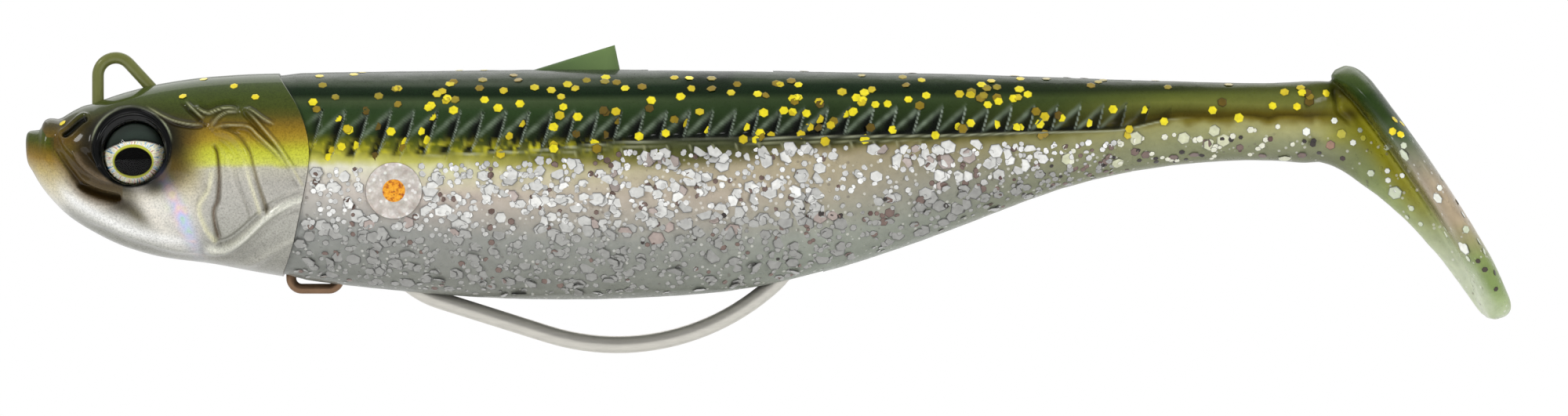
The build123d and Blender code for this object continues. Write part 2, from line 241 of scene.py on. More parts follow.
def set_co_mm(ob, co):
    ob.data.vertices.foreach_set("co", (np.asarray(co) * MM).astype(np.float32).ravel())
    ob.data.update()


def point_attr(ob, name, values):
    values = np.asarray(values, np.float32)
    if values.ndim == 1:
        at = ob.data.attributes.get(name) or ob.data.attributes.new(name, "FLOAT", "POINT")
        at.data.foreach_set("value", values)
    elif values.shape[1] == 3:
        at = ob.data.attributes.get(name) or ob.data.attributes.new(name, "FLOAT_VECTOR", "POINT")
        at.data.foreach_set("vector", values.ravel())
    else:
        at = ob.data.attributes.get(name) or ob.data.attributes.new(name, "FLOAT_COLOR", "POINT")
        at.data.foreach_set("color", values.ravel())


def paint_attr(ob, rgb):
    point_attr(ob, "paint", np.hstack([rgb, np.ones((len(rgb), 1))]))


def rings_faces(nu, nv, first=0):
    i = np.arange(nu - 1)[:, None] * nv + first
    j = np.arange(nv)[None, :]
    k = (j + 1) % nv
    return np.stack([i + j, i + k, i + nv + k, i + nv + j], -1).reshape(-1, 4)


def apply_modifiers(ob):
    dg = bpy.context.evaluated_depsgraph_get()
    me = bpy.data.meshes.new_from_object(ob.evaluated_get(dg))
    old = ob.data
    ob.modifiers.clear()
    ob.data = me
    bpy.data.meshes.remove(old)
    return ob


# ------------------------------------------------------------------ outline functions
body_top, body_bot, body_half = (spline(BODY[:, 0], BODY[:, k]) for k in (1, 2, 3))
seam_x = spline(-SEAM[:, 1], SEAM[:, 0])


def seam_at(z):
    return seam_x(np.clip(-np.asarray(z, float), -SEAM[0, 1], -SEAM[-1, 1]))


_top = sorted(NOSE_TOP + [(r[0], r[1]) for r in HEAD if r[0] > 0])
head_top = pchip([math.sqrt(p[0] - NOSE_X) for p in _top], [p[1] for p in _top])
head_bot = pchip([0, 0.10, 0.30, 0.45] + list(np.sqrt(HEAD[:, 0] - NOSE_X)),
                 [-5.70, -6.05, -6.95, -7.40] + list(HEAD[:, 2]))
head_half = pchip([0, 0.10, 0.30, 0.45] + list(np.sqrt(HEAD[:, 0] - NOSE_X)),
                  [0, 0.45, 1.05, 1.38] + list(HEAD[:, 3]))


def superellipse(theta, n):
    c, s = np.cos(theta), np.sin(theta)
    r = (np.abs(c) ** n + np.abs(s) ** n) ** (-1 / n)
    return c * r, s * r


# ------------------------------------------------------------------ materials
def material(name):
    m = bpy.data.materials.new(name)
    m.use_nodes = True
    nt = m.node_tree
    bsdf = nt.nodes["Principled BSDF"]
    return m, nt, bsdf


def node(nt, kind, **props):
    n = nt.nodes.new(kind)
    for k, v in props.items():
        setattr(n, k, v)
    return n


def attribute(nt, name):
    return node(nt, "ShaderNodeAttribute", attribute_name=name)


def mix_rgb(nt, fac, a, b, mode="MIX"):
    n = node(nt, "ShaderNodeMix", data_type="RGBA", blend_type=mode)
    for k, val in ((0, fac), (6, a), (7, b)):
        sock = n.inputs[k]
        if isinstance(val, bpy.types.NodeSocket):
            nt.links.new(val, sock)
        elif isinstance(val, (int, float)):
            sock.default_value = val if k == 0 else (val, val, val, 1)
        else:
            sock.default_value = tuple(val)[:3] + (1,)
    return n.outputs[2]


def mathn(nt, op, a, b=0.0, clamp=False):
    n = node(nt, "ShaderNodeMath", operation=op, use_clamp=clamp)
    for sock, val in ((n.inputs[0], a), (n.inputs[1], b)):
        if isinstance(val, bpy.types.NodeSocket):
            nt.links.new(val, sock)
        else:
            sock.default_value = val
    return n.outputs[0]


def ramp(nt, fac, stops):
    n = node(nt, "ShaderNodeValToRGB")
    cr = n.color_ramp
    while len(cr.elements) < len(stops):
        cr.elements.new(0.5)
    for e, (p, c) in zip(cr.elements, stops):
        e.position = p
        e.color = tuple(c)[:3] + (1,) if not isinstance(c, (int, float)) else (c, c, c, 1)
    nt.links.new(fac, n.inputs[0])
    return n.outputs[0]


def noise_tex(nt, vec, scale, detail=3.0, rough=0.5):
    n = node(nt, "ShaderNodeTexNoise")
    nt.links.new(vec, n.inputs["Vector"])
    n.inputs["Scale"].default_value = scale
    n.inputs["Detail"].default_value = detail
    n.inputs["Roughness"].default_value = rough
    return n.outputs["Fac"]


def bump(nt, height, distance, strength=1.0, normal=None):
    n = node(nt, "ShaderNodeBump")
    n.inputs["Strength"].default_value = strength
    n.inputs["Distance"].default_value = distance
    nt.links.new(height, n.inputs["Height"])
    if normal is not None:
        nt.links.new(normal, n.inputs["Normal"])
    return n.outputs["Normal"]


def voronoi(nt, vec, scale, randomness=1.0, feature="F1"):
    n = node(nt, "ShaderNodeTexVoronoi", feature=feature)
    nt.links.new(vec, n.inputs["Vector"])
    n.inputs["Scale"].default_value = scale
    n.inputs["Randomness"].default_value = randomness
    return n


# ------------------------------------------------------------------ camera and the main side view
CAM_D = 1100.0
XC, ZC = 56.25, -11.15


def side_view(co):
    """Where points stand in the side view: distance from the mid plane shifts them outward a little."""
    k = CAM_D / (CAM_D - np.abs(co[:, 1]))
    return np.stack([XC + (co[:, 0] - XC) * k, ZC + (co[:, 2] - ZC) * k], 1)


# ------------------------------------------------------------------ the head
L = {
    "mouth": [(-5.788, -5.24), (-5.326, -6.032), (-4.864, -6.758), (-4.336, -7.55), (-3.808, -8.276), (-3.214, -9.002),
              (-2.488, -9.662), (-1.498, -10.124), (-0.508, -10.388), (0.35, -10.52)],
    "slot": [(-3.241, -8.87), (-2.884, -9.398), (-2.224, -9.761), (-1.3, -10.091), (-0.376, -10.322), (0.45, -10.47)],
    "cheek": [(-3.61, -6.164), (-3.346, -6.692), (-2.95, -7.352), (-2.29, -7.979), (-1.498, -8.507), (-0.772, -8.837), (-0.046, -9.035)],
    "cheek2": [(-5.656, -4.712), (-5.128, -5.504), (-4.468, -6.428), (-3.676, -7.352), (-2.884, -8.21), (-1.96, -8.936)],
    "nostril": [(-4.25, -4.98), (-3.874, -4.712), (-3.346, -4.217), (-2.95, -3.86), (-2.65, -3.68)],
    "crease_a": [(3.452, -3.392), (4.112, -3.722), (4.904, -4.085), (5.96, -4.316), (6.884, -4.382), (7.61, -4.184)],
    "ridge_a": [(2.396, -2.468), (3.188, -2.93), (3.98, -3.392), (4.904, -3.788), (5.96, -4.039), (6.884, -4.118), (7.544, -4.019)],
    "crease_b": [(5.366, -2.27), (5.894, -2.765), (6.554, -3.326), (7.148, -3.821), (7.61, -4.184)],
    "ridge_b": [(5.828, -2.072), (6.356, -2.666), (6.95, -3.227), (7.412, -3.656)],
    "shield_top": [(6.554, -2.468), (7.148, -2.93), (7.808, -3.128), (8.468, -2.897), (9.128, -2.732), (9.92, -2.746), (10.514, -2.996)],
    "shield_low": [(7.94, -4.448), (8.138, -4.052), (8.534, -3.557), (8.93, -3.26), (9.326, -3.062), (9.92, -2.996), (10.514, -2.996)],
    "oper_a": [(8.072, -4.844), (8.138, -4.514), (8.534, -4.316), (9.128, -4.184), (10.052, -4.184), (10.976, -4.25), (11.438, -4.481),
               (11.834, -4.91), (12.56, -5.57), (13.484, -6.428), (14.54, -7.682)],
    "oper_b": [(10.646, -2.666), (11.24, -3.194), (11.702, -3.656), (12.56, -4.646), (13.484, -5.702), (14.144, -6.692),
               (14.804, -7.682), (15.398, -8.672), (15.86, -9.464)],
    "oper_c": [(10.91, -2.6), (11.57, -2.996), (12.296, -3.524), (12.956, -3.92), (13.484, -4.184)],
    "bone1": [(8.072, -7.682), (8.006, -8.474), (7.808, -9.53), (7.478, -10.124), (7.082, -10.718), (6.983, -11.246),
              (7.082, -11.774), (7.313, -12.368), (7.61, -13.028), (8.072, -13.622), (8.6, -14.15)],
    "bone1g": [(8.138, -5.768), (8.402, -6.164), (8.567, -6.824), (8.686, -8.342), (8.666, -9.464), (8.567, -10.52),
               (8.303, -11.114), (8.237, -11.708), (8.336, -12.5), (8.534, -13.292), (8.798, -14.018)],
    "bone1b": [(7.577, -8.672), (7.676, -9.464), (7.412, -10.256), (7.148, -10.916)],
    "bone2": [(8.336, -5.438), (8.93, -5.801), (9.392, -6.23), (9.788, -6.956), (10.052, -8.078), (10.316, -9.002),
              (10.646, -9.992), (10.976, -10.916), (11.372, -11.972)],
    "bone2r": [(8.138, -4.91), (8.666, -4.877), (9.26, -5.075), (9.854, -5.471), (10.316, -6.032), (10.712, -6.758),
               (10.976, -7.748), (11.306, -9.002), (11.702, -10.256), (12.032, -11.312), (12.032, -11.906)],
    "low": [(7.28, -14.48), (7.94, -14.645), (8.732, -14.678), (9.392, -14.546), (10.052, -14.216), (10.844, -13.622),
            (11.702, -12.83), (12.56, -12.038), (13.484, -11.378), (14.408, -10.85), (15.332, -10.487), (15.992, -10.256)],
    "chin": [(-3.676, -11.246), (-2.884, -11.642), (-1.828, -12.137), (-0.007, -12.929), (1.604, -13.622), (3.452, -14.183),
             (4.64, -14.513), (5.828, -14.711), (6.62, -14.678), (7.28, -14.48)],
    "low2": [(9.788, -15.998), (10.712, -15.965), (11.702, -15.668), (12.56, -15.173), (13.484, -14.579), (14.408, -14.051), (15.332, -13.622)],
}
L = {k: curve_through(v, 5) for k, v in L.items()}
EYE_C = np.array([1.60, 5.36, -6.43])
EYE_N = np.array([-0.22, 0.955, 0.18])
EYE_N = EYE_N / np.linalg.norm(EYE_N)
SOCKET = (1.34, -6.03, 3.34)


def head_surface(nu=330, nv=440):
    s = np.linspace(0, 1, nu) ** 1.75
    s[0] = 0.0
    th = np.linspace(0, 2 * np.pi, nv, endpoint=False) + np.pi / nv
    c, sn = superellipse(th, 2.12)
    # the rear edge follows the seam line
    x_end = np.full(nv, 15.0)
    for _ in range(25):
        r = np.sqrt(x_end - NOSE_X)
        top, bot = head_top(r), head_bot(r)
        x_end = seam_at((top + bot) / 2 + (top - bot) / 2 * sn)
    X = NOSE_X + 1e-4 + (x_end[None, :] - NOSE_X) * s[:, None]
    R = np.sqrt(X - NOSE_X)
    top, bot, half = head_top(R), head_bot(R), head_half(R)
    Y = half * c[None, :]
    Z = (top + bot) / 2 + (top - bot) / 2 * sn[None, :]
    return np.stack([X, Y, Z], -1), s, th


def line_height(q, name, width, height, reach=None, a=0.12, b=0.12, offset=0.0):
    """A rounded ridge (or groove when height is below 0) along a line."""
    d, t, sd = to_line(q, L[name], reach or width * 3.2)
    return height * gauss(d * sd - offset, width) * ends(t, a, b)


def step_height(q, name, reach, height, sharp, a=0.15, b=0.15):
    """A one-sided step: full height just on the left of the line, fading out with distance."""
    d, t, sd = to_line(q, L[name], reach * 2.2)
    u = d * sd
    return height * smooth(-sharp, sharp, u) * np.exp(-np.maximum(u, 0) / reach) * ends(t, a, b)


def head_relief(q):
    """Height in mm along the surface normal for side-view points."""
    h = np.zeros(len(q))
    # snout and lips
    h += line_height(q, "mouth", 0.34, -0.42, a=0.22, b=0.10)
    h += line_height(q, "slot", 0.30, -0.85, a=0.30, b=0.12)
    h += line_height(q, "mouth", 0.50, 0.30, offset=-0.85, reach=2.4, a=0.3, b=0.2)
    h += line_height(q, "cheek2", 0.42, -0.20, a=0.2, b=0.2, reach=1.6)
    h += line_height(q, "cheek2", 0.35, 0.22, offset=0.62, reach=1.8, a=0.25, b=0.2)
    h += line_height(q, "cheek", 0.17, 0.30, a=0.25, b=0.2)
    h += line_height(q, "cheek", 0.45, -0.28, offset=0.62, reach=1.8, a=0.2, b=0.3)
    d, t, sd = to_line(q, L["nostril"], 1.2)
    h += -0.42 * smooth(0.30, 0.16, d) + 0.13 * gauss(d - 0.44, 0.13)
    # brow, temple and skull plates
    h += line_height(q, "crease_a", 0.13, -0.26, a=0.5, b=0.02)
    h += line_height(q, "ridge_a", 0.22, 0.22, a=0.45, b=0.02)
    h += line_height(q, "crease_b", 0.13, -0.24, a=0.4, b=0.02)
    h += line_height(q, "ridge_b", 0.17, 0.20, a=0.35, b=0.02)
    h += line_height(q, "shield_top", 0.17, 0.30, a=0.15, b=0.15)
    h += line_height(q, "shield_top", 0.16, -0.20, offset=0.42, reach=1.1, a=0.15, b=0.2)
    h += line_height(q, "shield_low", 0.16, 0.26, a=0.15, b=0.15)
    # gill cover
    h += line_height(q, "oper_a", 0.15, 0.26, a=0.05, b=0.10)
    h += line_height(q, "oper_a", 0.20, -0.20, offset=-0.38, reach=1.2, a=0.05, b=0.10)
    h += line_height(q, "oper_b", 0.16, 0.34, a=0.06, b=0.12)
    h += line_height(q, "oper_b", 0.16, -0.26, offset=-0.36, reach=1.2, a=0.08, b=0.12)
    h += line_height(q, "oper_c", 0.16, 0.24, a=0.2, b=0.3)
    h += line_height(q, "bone1g", 0.20, -0.42, a=0.03, b=0.06)
    h += line_height(q, "bone1", 0.26, 0.40, a=0.06, b=0.06)
    h += line_height(q, "bone1b", 0.14, -0.20, a=0.25, b=0.3)
    h += line_height(q, "bone2", 0.16, -0.18, a=0.1, b=0.06, offset=0.1)
    h += line_height(q, "bone2", 0.22, 0.22, a=0.1, b=0.06, offset=-0.20)
    h += line_height(q, "bone2r", 0.26, 0.40, a=0.05, b=0.05, offset=0.18)
    h += line_height(q, "bone2r", 0.16, -0.30, a=0.05, b=0.05, offset=0.62, reach=1.4)
    h += line_height(q, "low", 0.30, 0.56, a=0.10, b=0.03)
    h += line_height(q, "low", 0.22, -0.30, offset=0.62, reach=1.5, a=0.15, b=0.03)
    h += line_height(q, "low", 0.22, -0.14, offset=-0.62, reach=1.5, a=0.2, b=0.03)
    h += line_height(q, "chin", 0.34, 0.16, a=0.3, b=0.1)
    h += line_height(q, "chin", 0.34, -0.22, offset=-0.66, reach=2.0, a=0.3, b=0.1)
    h += line_height(q, "low2", 0.35, 0.20, a=0.35, b=0.1)
    h += line_height(q, "low2", 0.30, -0.12, offset=0.65, reach=1.6, a=0.3, b=0.1)
    # cheek hollow behind the mouth and the swelling behind it
    x, z = q[:, 0], q[:, 1]
    h += -0.50 * np.exp(-((x - 0.9) / 1.25) ** 2 - ((z + 11.3) / 1.0) ** 2)
    h += 0.30 * np.exp(-(((x - 2.6) * 0.8 + (z + 11.4) * 0.55) / 0.9) ** 2 - (((z + 11.6) * 0.8 - (x - 2.6) * 0.5) / 2.6) ** 2)
    h += -0.16 * np.exp(-((x - 5.0) / 0.9) ** 2 - ((z + 11.3) / 2.6) ** 2)
    # first gill plate stands out towards the rear edge, the cover is pressed in ahead of it
    h += 0.14 * smooth(4.5, 7.0, x) * smooth(8.6, 8.2, x) * smooth(-4.6, -6.5, z) * smooth(-14.5, -13.0, z)
    return h


def build_head():
    G, s, th = head_surface()
    nu, nv = G.shape[:2]
    # cut normals from the smooth surface
    du = np.gradient(G, axis=0)
    dv = (np.roll(G, -1, 1) - np.roll(G, 1, 1))
    N = np.cross(dv, du)
    N /= np.maximum(np.linalg.norm(N, axis=-1, keepdims=True), 1e-12)
    if (N[nu // 2, :, 1] * G[nu // 2, :, 1]).sum() < 0:
        N = -N
    N[0] = (-1, 0, 0)
    P, NN = G.reshape(-1, 3), N.reshape(-1, 3)
    q = side_view(P)
    face = smooth(0.10, 0.45, np.abs(NN[:, 1]))
    h = head_relief(q) * face
    P = P + NN * h[:, None]
    # eye sockets
    for sgn in (-1, 1):
        n = EYE_N * (1, sgn, 1)
        cpt = EYE_C * (1, sgn, 1)
        rel = P - cpt
        hgt = rel @ n
        rho = np.linalg.norm(rel - hgt[:, None] * n, axis=1)
        mine = (P[:, 1] * sgn > 1.0) & (rho < 6.5)
        ro = np.hypot(q[:, 0] - SOCKET[0], q[:, 1] - SOCKET[1])
        pocket = 2.72
        a = np.clip((rho - pocket) / np.maximum((rho - pocket) + np.maximum(SOCKET[2] - ro, 0), 1e-6), 0, 1)
        a = np.where(ro > SOCKET[2], 1.0, a)
        a = np.where(rho < pocket, 0.0, a)
        wall = -0.40
        skin = hgt + 0.10 * gauss(ro - SOCKET[2], 0.16) * (ro > SOCKET[2] - 0.4)
        ring = 0.16 * gauss(a - 0.42, 0.16) * smooth(-7.4, -5.4, q[:, 1])
        inside = wall * (1 - smooth(0.0, 0.98, a)) + skin * smooth(0.0, 0.98, a) + ring - 0.12 * gauss(a - 0.72, 0.16)
        new = np.where(ro > SOCKET[2], skin, inside)
        new = np.where(rho < pocket, -1.12 + (wall + 1.12) * smooth(pocket - 0.10, pocket, rho), new)
        P = np.where(mine[:, None], P + ((new - hgt)[:, None]) * n, P)
    wide = np.abs(P[:, 1])
    P[:, 1] = np.sign(P[:, 1]) * np.where(wide > 6.55, 6.55 + 0.45 * np.tanh((wide - 6.55) / 0.62), wide)
    # closed rear face, let in behind the edge
    rim = P.reshape(nu, nv, 3)[-1]
    mid = rim.mean(0)
    extra = []
    for f, dx in ((0.985, 0.02), (0.965, 0.10), (0.90, 0.22), (0.6, 0.22), (0.3, 0.22)):
        ring3 = mid + (rim - mid) * f
        ring3[:, 0] = rim[:, 0] * 1.0 - dx + (0 if f > 0.8 else 0)
        if f < 0.8:
            ring3[:, 0] = (rim[:, 0] * f + 15.2 * (1 - f)) - dx
        extra.append(ring3)
    verts = np.vstack([P] + extra + [[15.0, 0, mid[2]]])
    verts[:, 0] = np.maximum(verts[:, 0], -7.565)
    q_all = side_view(verts)
    faces = rings_faces(nu + len(extra), nv).tolist()
    last = (nu + len(extra) - 1) * nv
    tip = len(verts) - 1
    faces += [[last + j, last + (j + 1) % nv, tip] for j in range(nv)]
    ob = new_mesh("head_shell", verts, faces)
    bpy.context.view_layer.objects.active = ob
    # merge the nose pole
    import bmesh
    bm = bmesh.new()
    bm.from_mesh(ob.data)
    bm.verts.ensure_lookup_table()
    bmesh.ops.pointmerge(bm, verts=[bm.verts[j] for j in range(nv)], merge_co=Vector((-7.565 * MM, 0, -5.70 * MM)))
    bmesh.ops.recalc_face_normals(bm, faces=bm.faces)
    bm.to_mesh(ob.data)
    bm.free()
    ob.data.shade_smooth()
    return ob


def head_paint(co):
    q = side_view(co)
    x, z = q[:, 0], q[:, 1]
    n1 = noise3(co, 1.3, 1)
    n2 = noise3(co, 0.45, 2)
    zz = z + 0.10 * n1
    olive = srgb(60, 70, 20)
    # back and rear bands, from the top downward; the lowest stops grow darker toward the underside as painted shade
    rear_z = [1.0, -0.6, -1.6, -2.6, -3.4, -4.0, -4.7, -5.35, -5.9, -6.4, -7.0, -7.45, -7.62, -7.85, -9.0, -11.0, -13.0, -15.0, -18.0]
    rear_c = np.array([srgb(50, 62, 26), srgb(54, 68, 22), srgb(54, 66, 18), srgb(58, 66, 20), srgb(76, 72, 24), srgb(106, 86, 26),
                       srgb(132, 106, 28), srgb(150, 128, 38), srgb(166, 160, 44), srgb(184, 186, 58), srgb(196, 200, 76), srgb(200, 204, 98),
                       srgb(196, 196, 130), srgb(192, 189, 172), srgb(184, 181, 172), srgb(178, 176, 168), srgb(168, 167, 158), srgb(152, 151, 142),
                       srgb(134, 133, 124)])
    rear = np.stack([np.interp(-zz, -np.array(rear_z), rear_c[:, k]) for k in range(3)], 1)
    # cheek in front of the gill plates: warm silver with a brown shoulder, darker toward the underside as painted shade
    front_z = [1.0, -1.0, -2.0, -3.0, -4.2, -5.6, -7.0, -8.2, -9.2, -10.4, -11.8, -13.4, -14.6, -16.0]
    front_c = np.array([srgb(50, 62, 26), srgb(54, 68, 20), srgb(56, 68, 18), srgb(52, 60, 20), srgb(64, 56, 26), srgb(112, 88, 30), srgb(168, 158, 60),
                        srgb(176, 166, 118), srgb(190, 180, 146), srgb(208, 202, 184), srgb(214, 210, 200), srgb(204, 202, 194), srgb(176, 175, 168),
                        srgb(140, 140, 134)])
    front = np.stack([np.interp(-zz, -np.array(front_z), front_c[:, k]) for k in range(3)], 1)
    col = mixc(front, rear, smooth(6.0, 8.2, x))
    # snout: olive above, gold then pearl below
    sn_z = [-3.0, -4.6, -5.4, -6.0, -6.8, -7.8, -9.0, -10.5, -12.5]
    sn_c = np.array([srgb(60, 70, 24), srgb(58, 68, 20), srgb(66, 72, 16), srgb(96, 80, 18), srgb(140, 112, 44), srgb(178, 160, 104),
                     srgb(208, 200, 172), srgb(216, 214, 204), srgb(196, 196, 190)])
    shift = 0.55 * smooth(-7.4, -4.5, x)
    sn = np.stack([np.interp(-(zz + shift), -np.array(sn_z), sn_c[:, k]) for k in range(3)], 1)
    d, t, sd = to_line(q, L["mouth"], 6.0)
    u = d * sd          # above/behind the mouth line is positive
    below = (u < 0) | (x < -5.6)
    # lower jaw pearl, darker toward its bottom edge as painted shade, golden brown next to the mouth
    jaw = mixc(srgb(226, 225, 218), srgb(156, 156, 148), smooth(-11.9, -13.7, z + 0.35 * (x - 1)))
    gold = srgb(126, 96, 34)
    edge = np.clip(1 - d / 1.5, 0, 1) ** 1.2
    jaw = mixc(jaw, gold, 0.95 * edge * smooth(1.2, -0.6, x))
    snout_w = smooth(-3.0, -5.6, x)
    jaw = mixc(jaw, sn, snout_w)
    jaw_w = np.where(x < 0.35, smooth(0.25, -0.25, u), smooth(-10.7, -12.6, z - 0.42 * (x - 0.35)))
    jaw_w = np.where((x < -5.2) & (z < -5.2), 1.0, jaw_w)
    col = mixc(col, jaw, jaw_w * smooth(5.2, 2.6, x))
    # dark area round the eye, snout side and upper lip
    r = np.hypot((x - 1.3), (z + 6.2) * 1.0)
    dark = srgb(22, 22, 13)
    above = smooth(-4.6, -2.8, z)
    col = mixc(col, srgb(46, 40, 18), 0.90 * smooth(6.1, 3.7, r) * smooth(-11.2, -9.2, z) * smooth(-1.4, -3.0, z) * (1 - 0.75 * above))
    col = mixc(col, dark, smooth(4.9 - 0.95 * above, 3.4, r) * smooth(-10.6, -8.9, z))
    fore = np.exp(-(((x + 2.3) * 0.8 + (z + 7.0) * 0.6) / 2.1) ** 2 - (((z + 7.0) * 0.8 - (x + 2.3) * 0.6) / 1.7) ** 2)
    col = mixc(col, srgb(34, 28, 14), np.clip(1.25 * fore, 0, 0.94) * np.where(u > -0.1, 1.0, 0.0))
    up = np.where((u > 0) & (x < 0.6), 1.0, 0.0)
    lip = up * smooth(2.6, 0.2, d) * smooth(-5.9, -4.9, x) * smooth(-4.6, -5.4, z)
    col = mixc(col, srgb(74, 56, 22), 0.85 * lip)
    # painted highlight along the cheek ridge
    d2, t2, _ = to_line(q, L["cheek"], 1.2)
    col = mixc(col, srgb(122, 106, 84), 0.6 * gauss(d2, 0.22) * ends(t2, 0.2, 0.2))
    # painted shade in the cheek hollow behind the mouth, olive brown
    hollow_shade = np.exp(-(((x - 1.7) * 0.80 - (z + 11.6) * 0.60) / 2.1) ** 2 - (((z + 11.6) * 0.80 + (x - 1.7) * 0.60) / 0.85) ** 2)
    hollow_shade_core = np.exp(-((x - 0.5) / 1.3) ** 2 - ((z + 10.9) / 0.85) ** 2)
    col = mixc(col, srgb(80, 72, 34), np.clip(0.95 * hollow_shade, 0, 0.92))
    col = mixc(col, srgb(48, 40, 18), np.clip(0.95 * hollow_shade_core, 0, 0.92))
    # warm brown shoulder behind the eye; painted highlight as a bright band on the cheek swelling
    col = mixc(col, srgb(96, 78, 30), 0.75 * np.exp(-((x - 5.1) / 1.2) ** 2 - ((z + 7.9) / 1.3) ** 2))
    col = mixc(col, srgb(230, 224, 212), 0.75 * np.exp(-(((x - 2.9) + (z + 11.2) * 0.55) / 0.75) ** 2 - ((z + 11.7) / 2.0) ** 2))
    # painted shade in the mouth slot, along the mouth groove and in the nostril pit; the socket black is the ring's own
    # paint
    d3, t3, _ = to_line(q, L["slot"], 1.0)
    col = mixc(col, srgb(6, 6, 5), smooth(0.42, 0.14, d3) * ends(t3, 0.1, 0.02))
    d4, t4, _ = to_line(q, L["mouth"], 1.0)
    col = mixc(col, srgb(44, 32, 12), 0.85 * smooth(0.5, 0.1, d4) * smooth(-4.4, -3.2, x))
    d5, t5, _ = to_line(q, L["nostril"], 1.0)
    col = mixc(col, srgb(10, 12, 6), smooth(0.34, 0.18, d5))
    ro = np.hypot(x - SOCKET[0], z - SOCKET[1])
    col = mixc(col, srgb(5, 6, 6), smooth(SOCKET[2] + 0.14, SOCKET[2] - 0.04, ro))
    # painted highlight arc on the socket's upper rim
    rim = gauss(ro - SOCKET[2] - 0.06, 0.07) * smooth(0.2, 1.6, z - SOCKET[1]) * (0.55 + 0.45 * np.sin(3.0 * np.arctan2(z - SOCKET[1], x - SOCKET[0])))
    col = mixc(col, srgb(150, 156, 128), 0.75 * rim)
    # painted shade along the groove lines
    for name, w, k, c in (("bone1g", 0.12, 0.75, (104, 74, 30)), ("low", 0.16, 0.0, (0, 0, 0)), ("crease_a", 0.12, 0.7, (28, 20, 8)),
                          ("crease_b", 0.12, 0.6, (28, 20, 8)), ("oper_b", 0.12, 0.0, (0, 0, 0))):
        dd, tt, _ = to_line(q, L[name], 0.8)
        if k:
            col = mixc(col, srgb(*c), k * gauss(dd, w) * ends(tt, 0.08, 0.08))
    # painted shade along the groove beside the second gill bone
    dd, tt, sdd = to_line(q, L["bone2r"], 1.4)
    col = mixc(col, srgb(120, 104, 50), 0.6 * gauss(dd * sdd - 0.62, 0.15) * ends(tt, 0.15, 0.05))
    # painted highlights along the gill bone, gill edge and chin ridges, below eye height
    for name, w, k, c in (("low", 0.30, 0.85, (232, 232, 218)), ("bone1", 0.22, 0.65, (232, 228, 190)), ("oper_b", 0.13, 0.35, (214, 206, 150)),
                          ("oper_a", 0.11, 0.45, (206, 196, 140)), ("bone2r", 0.17, 0.62, (230, 227, 192)), ("low2", 0.3, 0.3, (205, 203, 190)), ("chin", 0.3, 0.35, (215, 215, 208))):
        dd, tt, _ = to_line(q, L[name], 1.4)
        col = mixc(col, srgb(*c), k * gauss(dd, w) * ends(tt, 0.08, 0.05) * smooth(-7.2, -8.4, z))
    # painted highlights on the brow and gill cover ridges, with painted shade just beside them
    for name, k in (("shield_top", 0.60), ("shield_low", 0.48), ("ridge_a", 0.42), ("ridge_b", 0.42), ("oper_c", 0.40), ("oper_b", 0.40), ("oper_a", 0.40)):
        dd, tt, _ = to_line(q, L[name], 0.8)
        col = mixc(col, srgb(196, 196, 156), k * gauss(dd, 0.070) * ends(tt, 0.25, 0.25))
        beside_shade = gauss(dd - 0.24, 0.10)
        col = mixc(col, srgb(30, 24, 8), 0.52 * beside_shade * ends(tt, 0.2, 0.2) * smooth(-8.4, -7.0, z))
    # painted highlight along the lower jaw rim, and painted shade in a grey band nearer the bottom edge
    rim_z = head_bot(np.sqrt(np.maximum(x - NOSE_X, 0.0)))
    col = mixc(col, srgb(250, 250, 248), 0.70 * gauss(z - rim_z - 1.55, 0.42) * smooth(-5.2, -3.4, x) * smooth(7.5, 4.5, x))
    col = mixc(col, srgb(132, 132, 122), 0.45 * gauss(z - rim_z - 0.45, 0.42) * smooth(-5.2, -3.4, x) * smooth(7.5, 4.5, x))
    # underside darker, painted shade
    col = mixc(col, srgb(150, 149, 140), 0.55 * smooth(-14.9, -16.2, z + 0.12 * (8 - x) * (x < 8)))
    col = col * (1 + 0.05 * n2)[:, None]
    silver = smooth(-5.0, -8.2, z + 0.2 * n1) * smooth(0.5, -0.3, (r < 3.4) * 1.0)
    silver = np.maximum(silver, jaw_w * smooth(-7.2, -9.0, z))
    silver *= 1 - smooth(0.5, 0.2, d3)
    irid = np.exp(-(((x - 5.6) + (z + 12.0) * 0.42) / 0.62) ** 2 - ((z + 12.0) / 2.2) ** 2)
    return np.clip(col, 0, 1), silver, irid


